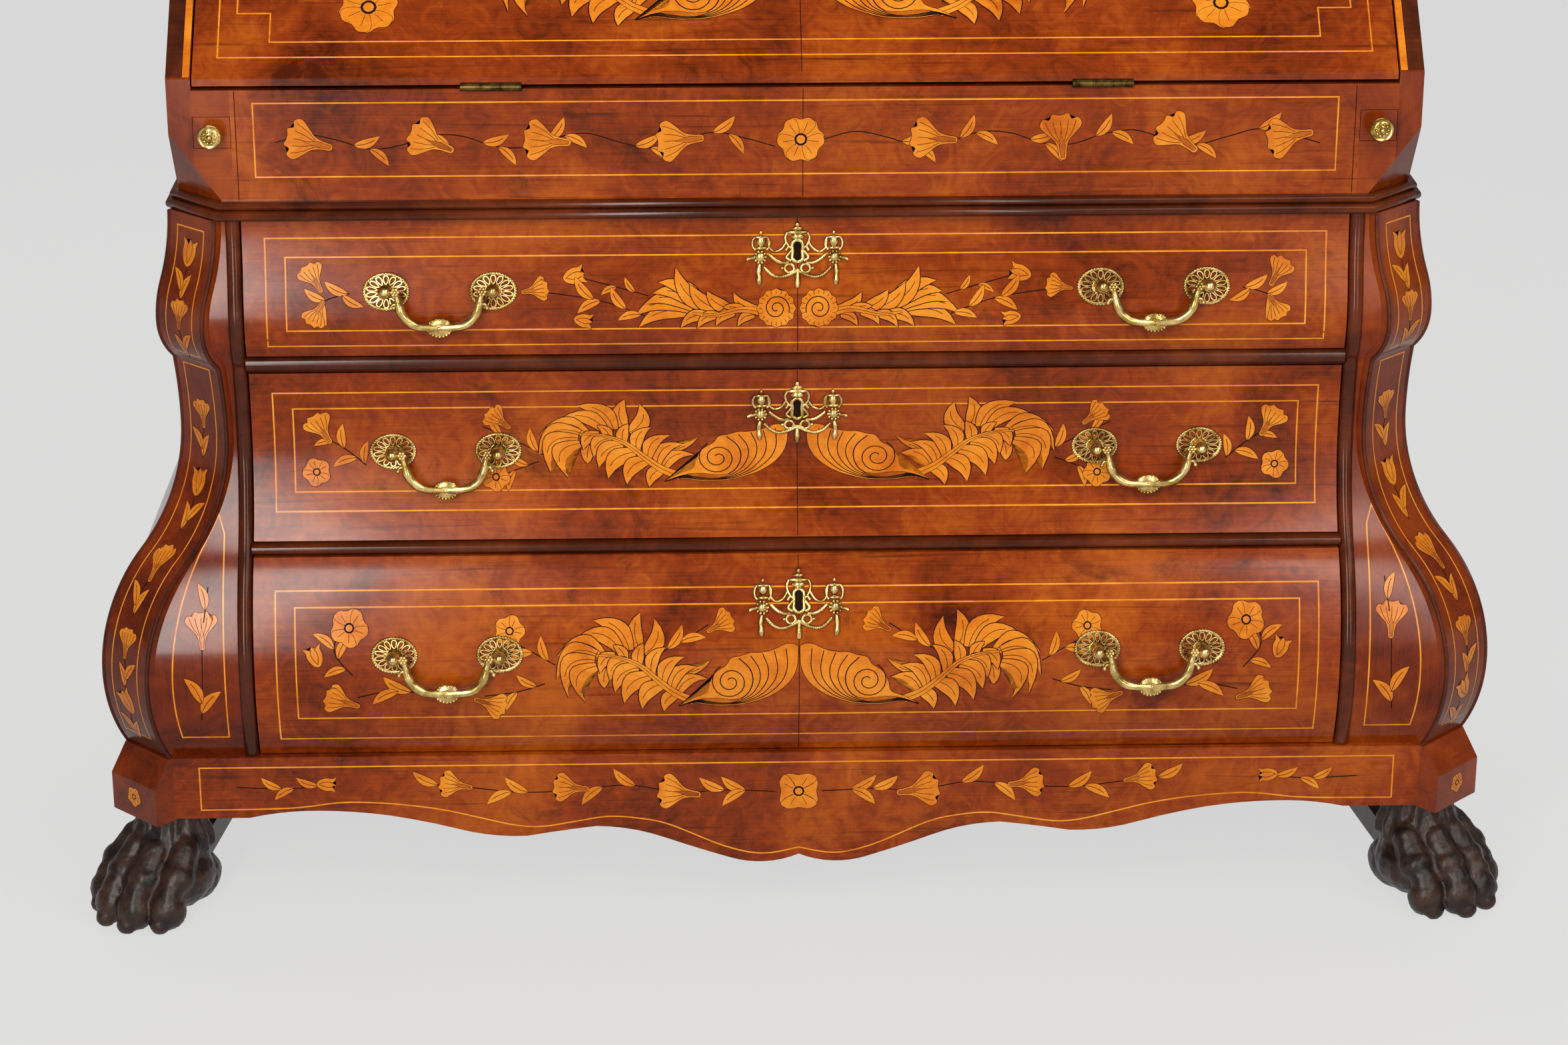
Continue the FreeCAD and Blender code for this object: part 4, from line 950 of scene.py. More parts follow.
def dress_plain_nodes() -> None:
    """Give every CAD node that stays its finish."""
    for name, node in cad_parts.items():
        if node.hide_render:
            continue
        if "hinge" in name or name == "fall_brasses":
            # hinges and fall brasses take brass darkened as painted shade of the gap under the fall
            finish = Finish.OLD_BRASS
        elif "knob" in name or (name.startswith(("bail", "drawer"))
                                and name.endswith(("brasses", "left", "right"))):
            finish = Finish.BRASS
        elif name.startswith(("paw", "stretchers", "rear_feet")):
            finish = Finish.EBONY
        elif name.endswith("_box") or name in ("back_boards", "drawer_runners", "loper_guides",
                                               "chest_bottom"):
            finish = Finish.OAK
        elif name.startswith("desk_side"):
            finish = Finish.UPRIGHT
        elif name in ("frieze_panel", "fall_front", "plinth_apron"):
            finish = Finish.BURR
        else:
            finish = Finish.DARK if name == "waist_board" else Finish.STRAIGHT
        node.data.materials.clear()
        node.data.materials.append(material_of(finish))


# Marquetry

class Inlay(Enum):
    """Layers of the marquetry, named like their finishes, by material index."""

    BOXWOOD = 0
    SCORCHED = 1
    STRINGING = 2
    INK = 3
    DARK = 4


class Flower(Enum):
    """Kinds of flowers, by the method that draws each."""

    LILY = "lily"
    TULIP = "tulip"
    BLOSSOM = "blossom"


LILY, TULIP, BLOSSOM = Flower


def curve_through(points: Sequence[Point], steps: int = 6, closed: bool = False) -> list[Point]:
    """Smooth path through points.

    Args:
        points: points that the path meets.
        steps: short lines for each span.
        closed: whether the path joins up.

    Returns:
        Points of the path.
    """
    count = len(points)
    path: list[Point] = []
    for index in range(count if closed else count - 1):
        near = [points[place % count if closed else min(max(place, 0), count - 1)]
                for place in range(index - 1, index + 3)]
        for step in range(steps):
            t = step / steps
            weights = (-t + 2 * t ** 2 - t ** 3, 2 - 5 * t ** 2 + 3 * t ** 3,
                       t + 4 * t ** 2 - 3 * t ** 3, t ** 3 - t ** 2)
            path.append(tuple(sum(w * p[axis] for w, p in zip(weights, near)) / 2 for axis in (0, 1)))
    return path if closed else path + [tuple(points[-1])]


def at_share(path: Sequence[Point], share: float) -> tuple[Point, Point]:
    """Place and direction at a share of a path's points.

    Args:
        path: points of the path.
        share: share from 0 to 1.

    Returns:
        The place, and the direction with length 1.
    """
    index = min(int(share * (len(path) - 1)), len(path) - 2)
    (x0, y0), (x1, y1) = path[index], path[index + 1]
    size = math.hypot(x1 - x0, y1 - y0) or 1.0
    return (x0, y0), ((x1 - x0) / size, (y1 - y0) / size)


def signed_area(outline: Sequence[Point]) -> float:
    """Twice the area of an outline, negative where it runs clockwise."""
    return sum(a[0] * b[1] - b[0] * a[1] for a, b in zip(outline, [*outline[1:], outline[0]]))


class Marquetry:
    """Inlaid pieces on one face, gathered into one thin mesh."""

    BASE = 0.12
    STEP = 0.022
    OUTLINE = 0.42
    BOLD_OUTLINE = 0.85
    SEAM = 0.7

    def __init__(self, face: Face) -> None:
        """Start with no piece.

        Args:
            face: the face that takes the inlay.
        """
        self.face = face
        self.work = bmesh.new()
        self.level = 0
        self.flip = 1
        self.origin: Point = (0.0, 0.0)
        self.stretch: Point = (1.0, 1.0)

    def frame_at(self, origin: Point, flip: int = 1, stretch: Point = (1.0, 1.0)) -> None:
        """Draw what follows from another origin, mirrored or stretched."""
        self.origin, self.flip, self.stretch, self.level = origin, flip, stretch, 0

    def _polygon(self, outline: Sequence[Point], lift: float, layer: Inlay) -> None:
        """Lay one flat polygon that faces outwards.

        Args:
            outline: its corners in the drawing's own plane.
            lift: height off the face.
            layer: what it is made of.
        """
        points = [(self.origin[0] + self.flip * self.stretch[0] * u, self.origin[1] + self.stretch[1] * v)
                  for u, v in outline]
        if signed_area(points) < 0:
            points.reverse()
        face = self.work.faces.new([self.work.verts.new((u, v, lift)) for u, v in points])
        face.material_index = layer.value

    @staticmethod
    def _grown(outline: Sequence[Point], by: float) -> list[Point]:
        """An outline moved outwards.

        Args:
            outline: corners in order.
            by: distance in millimetres.

        Returns:
            The wider outline.
        """
        turn = by if signed_area(outline) > 0 else -by
        result = []
        for index, (u, v) in enumerate(outline):
            (u0, v0), (u1, v1) = outline[index - 1], outline[(index + 1) % len(outline)]
            size = math.hypot(u1 - u0, v1 - v0) or 1.0
            result.append((u + turn * (v1 - v0) / size, v - turn * (u1 - u0) / size))
        return result

    def piece(self, outline: Sequence[Point], layer: Inlay = Inlay.BOXWOOD, line: float = OUTLINE) -> None:
        """Inlay one piece with a dark line round it.

        Args:
            outline: its corners.
            layer: what it is made of.
            line: width of the dark line.
        """
        lift = self.BASE + self.STEP * self.level
        self._polygon(self._grown(outline, line), lift, Inlay.INK)
        self._polygon(outline, lift + self.STEP * 0.4, layer)
        self.level += 1

    def stroke(self, path: Sequence[Point], width: float = 0.55, layer: Inlay = Inlay.INK,
               closed: bool = False) -> None:
        """Draw a thin line along a path.

        Args:
            path: points of its middle.
            width: its width in millimetres.
            layer: what it is made of.
            closed: whether the path joins up.
        """
        lift = self.BASE + self.STEP * (self.level - 0.3) if layer is Inlay.INK else self.BASE * 0.6
        count = len(path)
        edges = []
        for index, (u, v) in enumerate(path):
            before = path[index - 1] if closed or index else path[0]
            after = path[(index + 1) % count] if closed or index < count - 1 else path[-1]
            ways = []
            for (u0, v0), (u1, v1) in ((before, (u, v)), ((u, v), after)):
                size = math.hypot(u1 - u0, v1 - v0)
                if size > 1e-9:
                    ways.append(((u1 - u0) / size, (v1 - v0) / size))
            along = (ways[0][0] + ways[-1][0], ways[0][1] + ways[-1][1])
            size = math.hypot(*along) or 1.0
            spread = width / 2 * min(2.0 / size, 2.0)
            normal = (-along[1] / size * spread, along[0] / size * spread)
            edges.append(((u + normal[0], v + normal[1]), (u - normal[0], v - normal[1])))
        for index in range(count if closed else count - 1):
            first, last = edges[index], edges[(index + 1) % count]
            self._polygon([first[0], first[1], last[1], last[0]], lift, layer)

    def stringing(self, path: Sequence[Point], width: float = 1.35, closed: bool = True) -> None:
        """Let in a boxwood line.

        Args:
            path: corners of the line.
            width: its width.
            closed: whether it joins up.
        """
        self.level = 0
        apart = [point for index, point in enumerate(path) if math.dist(point, path[index - 1]) > 1e-6]
        self.stroke(apart, width, Inlay.STRINGING, closed)

    def seam(self, x: float, node: str) -> None:
        """Draw an upright joint in the veneer over the whole height of a CAD node."""
        self.stroke([(x, low(node).z + 1.0), (x, high(node).z - 1.0)], self.SEAM)

    def leaf(self, base: Point, tip: Point, width: float, bend: float = 0.0, lush: bool = False) -> None:
        """Inlay a pointed leaf with its rib.

        Args:
            base: where it leaves the stem.
            tip: its point.
            width: greatest width as a share of its length.
            bend: sideways bow as a share of its length.
            lush: whether it is a full lobe with a curling tip and a bolder outline.
        """
        along = (tip[0] - base[0], tip[1] - base[1])
        across = (-along[1], along[0])
        left, right, rib = [], [], []
        for step in range(9):
            t = step / 8
            bow = bend * 4 * t * (1 - t)
            half = width / 2 * math.sin(math.pi * t ** 0.85) ** 0.8 if 0 < t < 1 else 0.0
            if lush:
                half = width / 2 * min(1.0, 0.5 + 1.2 * t) * (1 - t ** 2.6) ** 0.75
                bow -= bend * 0.7 * t ** 5
            for side, share in ((left, bow + half), (right, bow - half), (rib, bow)):
                side.append((base[0] + along[0] * t + across[0] * share,
                             base[1] + along[1] * t + across[1] * share))
        self.piece(left + right[-2:0:-1], line=self.BOLD_OUTLINE if lush else self.OUTLINE)
        self.stroke(rib[:-2], 0.6)

    def _local(self, centre: Point, angle: float, size: float, points: Iterable[Point]) -> list[Point]:
        """Points of a flower drawn along +u, turned and set in place.

        Args:
            centre: middle of the flower.
            angle: way that it looks, in degrees.
            size: its length.
            points: points of a flower of length 1.

        Returns:
            Points in place.
        """
        cos, sin = math.cos(math.radians(angle)), math.sin(math.radians(angle))
        return [(centre[0] + size * (u * cos - v * sin), centre[1] + size * (u * sin + v * cos))
                for u, v in points]

    def lily(self, centre: Point, angle: float, size: float) -> None:
        """Trumpet flower seen from the side, with its mouth at the given angle.

        Args:
            centre: middle of the flower.
            angle: way that it looks, in degrees.
            size: its length.
        """
        half = ((-0.52, 0.07), (-0.3, 0.1), (-0.08, 0.17), (0.1, 0.34), (0.3, 0.5), (0.47, 0.42),
                (0.44, 0.27), (0.58, 0.2), (0.55, 0.06))
        outline = list(half) + [(u, -v) for u, v in reversed(half)]
        self.piece(self._local(centre, angle, size, curve_through(outline, 3, closed=True)))
        for end in (-0.34, -0.17, 0.0, 0.17, 0.34):
            vein = ((-0.12, end * 0.25), (0.12, end * 0.75), (0.4, end * 1.1))
            self.stroke(self._local(centre, angle, size, curve_through(vein, 4)), 0.5)
        throat = ((-0.5, 0.03), (-0.2, 0.07), (0.16, 0.02), (-0.2, -0.07), (-0.5, -0.03))
        self.piece(self._local(centre, angle, size, throat), Inlay.SCORCHED)

    def tulip(self, centre: Point, angle: float, size: float) -> None:
        """Cup of three pointed petals.

        Args:
            centre: middle of the flower.
            angle: way that it looks, in degrees.
            size: its length.
        """
        half = ((-0.35, 0.22), (0.0, 0.36), (0.3, 0.34), (0.5, 0.42), (0.4, 0.2), (0.3, 0.1))
        outer = ((-0.5, 0.0),) + half + ((0.5, 0.0),) + tuple((u, -v) for u, v in reversed(half))
        self.piece(self._local(centre, angle, size, curve_through(outer, 3, closed=True)))
        for side in (-1, 1):
            petal = ((-0.38, 0.0), (-0.1, side * 0.12), (0.15, side * 0.15), (0.34, side * 0.1))
            self.stroke(self._local(centre, angle, size, curve_through(petal, 4)), 0.55)

    def blossom(self, centre: Point, angle: float, size: float, petals: int = 5) -> None:
        """Open flower with round petals, a dark eye and a light heart.

        Args:
            centre: middle of the flower.
            angle: way that it looks, in degrees.
            size: its length.
            petals: count of petals.
        """
        for petal in range(petals):
            turn = angle + 360.0 * petal / petals
            wide = 0.36 * math.sin(math.pi / petals) / 0.59
            shape = ((0.08, 0.0), (0.18, wide * 0.7), (0.36, wide * 1.1), (0.5, wide * 0.62), (0.46, 0.0),
                     (0.5, -wide * 0.62), (0.36, -wide * 1.1), (0.18, -wide * 0.7))
            self.piece(self._local(centre, turn, size, curve_through(shape, 3, closed=True)))
            for side in (-0.5, 0.5):
                vein = ((0.16, side * wide * 0.4), (0.38, side * wide))
                self.stroke(self._local(centre, turn, size, vein), 0.5)
        for radius, layer in ((0.14, Inlay.INK), (0.1, Inlay.BOXWOOD)):
            self.piece(self._local(centre, 0.0, size, ring(10, radius, radius)), layer)

    def sprig(self, stem: Sequence[Point], leaves: Sequence[Triple],
              flowers: Sequence[tuple[Flower, float, float, float, float]] = ()) -> None:
        """Stem with leaves at shares of its length and flowers anywhere.

        Args:
            stem: points of the stem.
            leaves: share along the stem, angle off it in degrees and length.
            flowers: kind, u, v, angle and size.
        """
        path = curve_through(stem, 8)
        self.stroke(path, 1.0)
        self.level += 1
        for share, turn, length in leaves:
            base, way = at_share(path, share)
            angle = math.atan2(way[1], way[0]) + math.radians(turn)
            tip = (base[0] + length * math.cos(angle), base[1] + length * math.sin(angle))
            self.leaf(base, tip, 0.34, 0.1 if turn < 0 else -0.1)
        for kind, u, v, angle, size in flowers:
            getattr(self, kind.value)((u, v), angle, size)

    def acanthus(self, leaves: Sequence[tuple[float, ...]], stem: Sequence[Point], width: float) -> None:
        """Scrolling acanthus: overlapping lobes about a tapering stem.

        Args:
            leaves: base u and v, tip u and v, width and bend of each lobe, from the back to the front.
            stem: points of the stem.
            width: width of the stem at its root.
        """
        for lobe in leaves:
            self.leaf(lobe[:2], lobe[2:4], *lobe[4:], lush=True)
        path = curve_through(stem, 8)
        for layer, extra in ((Inlay.INK, 2 * self.OUTLINE), (Inlay.BOXWOOD, 0.0)):
            for index in range(len(path) - 1):
                widths = [width * (1 - 0.85 * place / len(path)) + extra for place in (index, index + 1)]
                self._ribbon(path, index, widths, layer)
            self.level += 1
        self.stroke(path[:-4], 0.5)

    def _ribbon(self, path: Sequence[Point], index: int, widths: Sequence[float], layer: Inlay) -> None:
        """Lay one short length of a tapering ribbon.

        Args:
            path: middle line of the ribbon.
            index: which length of it.
            widths: width at both ends.
            layer: what it is made of.
        """
        corners: list[list[Point]] = []
        for place, width in zip((index, index + 1), widths):
            _, way = at_share(path, min(place, len(path) - 2) / (len(path) - 1) + 1e-6)
            u, v = path[place]
            corners.append([(u - way[1] * width / 2, v + way[0] * width / 2),
                            (u + way[1] * width / 2, v - way[0] * width / 2)])
        self._polygon([corners[0][0], corners[0][1], corners[1][1], corners[1][0]],
                      self.BASE + self.STEP * self.level, layer)

    def spiral(self, centre: Point, radius: float, turns: float, start: float) -> None:
        """Engraved spiral that winds inwards.

        Args:
            centre: its eye.
            radius: its outer radius.
            turns: count of turns.
            start: angle of its outer end.
        """
        path = []
        steps = turns * 18
        for step in range(int(steps) + 1):
            share = step / steps
            angle = math.radians(start) - 2 * math.pi * turns * share
            reach = radius * (1 - 0.86 * share)
            path.append((centre[0] + reach * math.cos(angle), centre[1] + reach * math.sin(angle)))
        self.stroke(path, 1.0)

    def shell(self) -> None:
        """Ridged shell that curls into a volute, rising to the middle of the drawer."""
        outer = ((1, 59), (2, 40), (9, 25), (23, 13), (39, 6), (55, 2), (77, 1), (99, 4), (113, 0))
        back = ((98, 9), (86, 14), (83, 24), (78, 34), (68, 41), (63, 48), (55, 50), (45, 53), (37, 53),
                (26, 55), (19, 58), (12, 61), (5, 61))
        self.piece(curve_through(outer, 5) + curve_through(back, 4))
        inner = ((56, 48), (46, 38), (43, 26), (48, 13), (60, 6), (76, 6), (94, 7), (113, 0))
        near, far = curve_through(outer, 7)[:56], curve_through(inner, 8)[:56]
        for share in (0.2, 0.4, 0.6, 0.8):
            ridge = [(a[0] + (b[0] - a[0]) * share, a[1] + (b[1] - a[1]) * share) for a, b in zip(near, far)]
            self.stroke(ridge, 0.9)
        self.stroke(far, 1.1)
        shade = ((52, 8), (64, 4), (80, 5), (92, 8), (78, 8.5), (64, 7))
        self.piece(curve_through(shade, 3, closed=True), Inlay.SCORCHED)
        self.spiral((64, 25), 18.0, 2.1, 60.0)

    def scalloped_volute(self, centre: Point, radius: float) -> None:
        """Round volute with a scalloped and engraved rim.

        Args:
            centre: its eye.
            radius: its radius.
        """
        rim = []
        for step in range(48):
            angle = 2 * math.pi * step / 48
            size = radius * (1 + 0.05 * math.cos(12 * angle))
            rim.append((centre[0] + size * math.cos(angle), centre[1] + size * math.sin(angle)))
        self.piece(rim)
        for nick in zip(*(ring(20, radius * share, radius * share, centre) for share in (0.76, 0.95))):
            self.stroke(nick, 0.5)
        self.spiral(centre, radius * 0.72, 1.9, 200.0)

    def _bent(self, flat: Vector) -> Vector:
        """Place of a flat point, on the chord between two rows that all layers share.

        Args:
            flat: place across, height and lift.

        Returns:
            The point in millimetres.
        """
        step = self.face.row
        row = math.floor(flat.y / step) * step
        first, last = (self.face.place(flat.x, height, flat.z) for height in (row, row + step))
        return first.lerp(last, (flat.y - row) / step)

    def settle(self, name: str, body: str) -> None:
        """Bend the inlay to its face and make it one piece.

        Args:
            name: name of the piece.
            body: CAD body that carries it.
        """
        work = self.work
        bmesh.ops.triangulate(work, faces=work.faces)
        heights = [vert.co.y for vert in work.verts]
        row = math.ceil(min(heights) / self.face.row) * self.face.row
        while row < max(heights):
            bmesh.ops.bisect_plane(work, geom=work.verts[:] + work.edges[:] + work.faces[:],
                                   plane_co=(0, row, 0), plane_no=(0, 1, 0))
            row += self.face.row
        for vert in work.verts:
            vert.co = self._bent(vert.co) * MM
        mesh = bpy.data.meshes.new(name)
        work.to_mesh(mesh)
        work.free()
        for layer in Inlay:
            mesh.materials.append(material_of(Finish[layer.name]))
        mesh.polygons.foreach_set("use_smooth", [True] * len(mesh.polygons))
        piece = bpy.data.objects.new(name, mesh)
        bpy.context.scene.collection.objects.link(piece)
        settle(piece, body, "walnut")


def rectangle(half: float, bottom: float, top: float) -> list[Point]:
    """Corners of a frame that is centred on the bureau."""
    return [(-half, bottom), (half, bottom), (half, top), (-half, top)]


# Lobes of the acanthus scrolls: base u and v, tip u and v, width and bend
FLAME_SCROLL = (
    (145, 52, 130, 83, 0.50, 0.18), (147, 56, 150, 90, 0.46, -0.12), (157, 54, 187, 87, 0.42, 0.16),
    (164, 54, 204, 73, 0.38, 0.18), (180, 50, 223, 58, 0.42, 0.22), (185, 52, 228, 37, 0.40, 0.26),
    (186, 47, 221, 18, 0.46, 0.32), (185, 42, 206, 10, 0.50, 0.32), (178, 44, 182, 20, 0.56, 0.05),
    (130, 37, 81, 43, 0.16, 0.12), (114, 11, 88, 32, 0.42, -0.20), (119, 17, 98, 43, 0.44, -0.20),
    (127, 24, 110, 52, 0.46, -0.18), (137, 34, 127, 60, 0.50, -0.16), (149, 41, 146, 63, 0.56, -0.10),
    (161, 46, 171, 62, 0.56, 0.12), (169, 52, 187, 37, 0.60, 0.20), (158, 47, 178, 30, 0.62, 0.20),
    (147, 40, 174, 19, 0.54, 0.18), (136, 32, 166, 8, 0.52, 0.18), (125, 24, 149, 1, 0.54, 0.18),
    (111, 15, 128, -3, 0.58, 0.16))
LOW_SCROLL = (
    (92, 14, 146, 6, 0.30, 0.12), (94, 16, 149, 17, 0.28, 0.14), (92, 17, 139, 27, 0.32, 0.14),
    (88, 18, 131, 36, 0.32, 0.12), (84, 18, 125, 45, 0.32, 0.10), (78, 18, 114, 52, 0.34, -0.12),
    (70, 17, 100, 38, 0.40, -0.10), (60, 18, 84, 32, 0.46, -0.10), (80, 12, 108, 3, 0.40, 0.14),
    (70, 12, 93, 2, 0.42, 0.16), (56, 14, 76, 4, 0.46, 0.16), (36, 17, 60, 30, 0.44, -0.14),
    (38, 12, 56, 3, 0.48, 0.16), (46, 16, 68, 20, 0.36, 0.05))
# Flower sprays of each drawer, over its inner frame: stem, leaves and flowers
SPRAYS = {
    Level.TOP: (
        (((136, 30), (165, 38), (196, 46)), ((0.3, 40, 16), (0.55, -40, 16)), ((TULIP, 204, 48, 165, 20),)),
        (((140, 12), (180, 26), (232, 34)), ((0.1, -35, 22), (0.25, 35, 24), (0.5, -40, 24), (0.62, 40, 26)),
         ((TULIP, 196, 8, 190, 17), (LILY, 240, 36, 170, 22))),
        (((408, 34), (430, 28), (446, 14)), ((0.1, 40, 24), (0.2, -140, 22), (0.5, 60, 22), (0.6, -60, 22)),
         ((LILY, 440, 47, 60, 25), (LILY, 438, 17, -60, 23)))),
    Level.MIDDLE: (
        (((232, 30), (262, 46), (292, 60)), ((0.2, 45, 24), (0.5, -45, 24), (0.7, 40, 22)),
         ((LILY, 276, 66, 40, 24),)),
        (((240, 26), (262, 18), (282, 10)), ((0.3, 50, 20), (0.5, -50, 20)), ((BLOSSOM, 280, 12, 10, 24),)),
        (((400, 24), (420, 40), (446, 56)), ((0.1, 60, 22), (0.3, -60, 24), (0.5, 55, 24), (0.7, -45, 18)),
         ((LILY, 440, 58, 60, 28), (BLOSSOM, 446, 18, 30, 24)))),
    Level.BOTTOM: (
        (((126, 64), (104, 76), (84, 88)), ((0.15, -30, 26), (0.4, 20, 24)), ((LILY, 74, 88, 150, 24),)),
        (((226, 52), (250, 66), (276, 80)), ((0.2, 45, 24), (0.45, -45, 26), (0.7, 40, 22)),
         ((BLOSSOM, 268, 84, 0, 26),)),
        (((236, 34), (262, 26), (292, 22)), ((0.2, 50, 22), (0.5, -50, 22)), ((LILY, 288, 14, 200, 28),)),
        (((352, 26), (380, 28), (410, 22)), ((0.2, 25, 30), (0.4, -30, 28)), ((LILY, 424, 18, 20, 30),)),
        (((414, 44), (430, 66), (424, 90)), ((0.2, -70, 22), (0.4, 60, 24), (0.6, -60, 24)),
         ((BLOSSOM, 416, 88, 10, 32), (TULIP, 448, 62, 70, 20))))}


@dataclass
class DrawerInlay:
    """Stringing frames, scrolls and flower sprays of the three drawer fronts."""

    outer_half: float = 484.0
    inner_half: float = 466.0
    frames: dict = field(default_factory=lambda: {
        Level.TOP: ((550.0, 649.0), (565.0, 631.5)), Level.MIDDLE: ((390.0, 501.0), (407.0, 485.5)),
        Level.BOTTOM: ((183.0, 326.0), (206.0, 312.0))})

    def build(self) -> None:
        """Inlay all three drawers."""
        for level in Level:
            inlay = Marquetry(BombeFront())
            for half, (bottom, top) in zip((self.outer_half, self.inner_half), self.frames[level]):
                inlay.stringing(rectangle(half, bottom, top))
            for flip in (-1, 1):
                self.motif(inlay, level, flip)
            inlay.frame_at((0, 0))
            inlay.seam(0.0, f"drawer_{level}_front")
            self.keyhole(inlay, DrawerBrasses.key_height(level))
            inlay.settle(f"{level}_drawer_marquetry", f"drawer_{level}")

    @staticmethod
    def keyhole(inlay: Marquetry, z: float) -> None:
        """Keyhole inside the escutcheon as a flat dark piece: painted shade for the dark of the hole.

        Args:
            inlay: the drawer's inlay.
            z: height of the keyhole.
        """
        radius, rise, drop, half = 3.3, 4.5, 8.5, 2.2
        turns = [math.radians(angle) for angle in range(-40, 221, 20)]
        eye = [(radius * math.cos(turn), z + rise + radius * math.sin(turn)) for turn in turns]
        # painted shade: a flat dark piece where the keyhole's hollow would be dark
        inlay.piece(eye + [(-half, z - drop), (half, z - drop)], Inlay.INK)

    def motif(self, inlay: Marquetry, level: Level, flip: int) -> None:
        """Scrolls and flower sprays on one half of a drawer.

        Args:
            inlay: the drawer's inlay.
            level: which drawer.
            flip: -1 on the left half, 1 on the right.
        """
        base = self.frames[level][1][0]
        if level is Level.TOP:
            inlay.frame_at((0, base), flip)
            inlay.acanthus(LOW_SCROLL, ((34, 15), (52, 17), (76, 12), (96, 14)), 7.0)
            inlay.scalloped_volute((19.5, 18.0), 17.0)
        elif level is Level.MIDDLE:
            inlay.frame_at((8 * flip, 413.0), flip, (1.03, 0.88))
            self.flame(inlay)
        else:
            inlay.frame_at((0, 215.0), flip)
            self.flame(inlay)
        inlay.frame_at((0, base), flip)
        for spray in SPRAYS[level]:
            inlay.sprig(*spray)

    @staticmethod
    def flame(inlay: Marquetry) -> None:
        """Flaming acanthus that springs from a shell."""
        inlay.acanthus(FLAME_SCROLL, ((98, 6), (115, 14), (131, 27), (148, 42), (168, 50), (186, 52)), 8.0)
        inlay.shell()


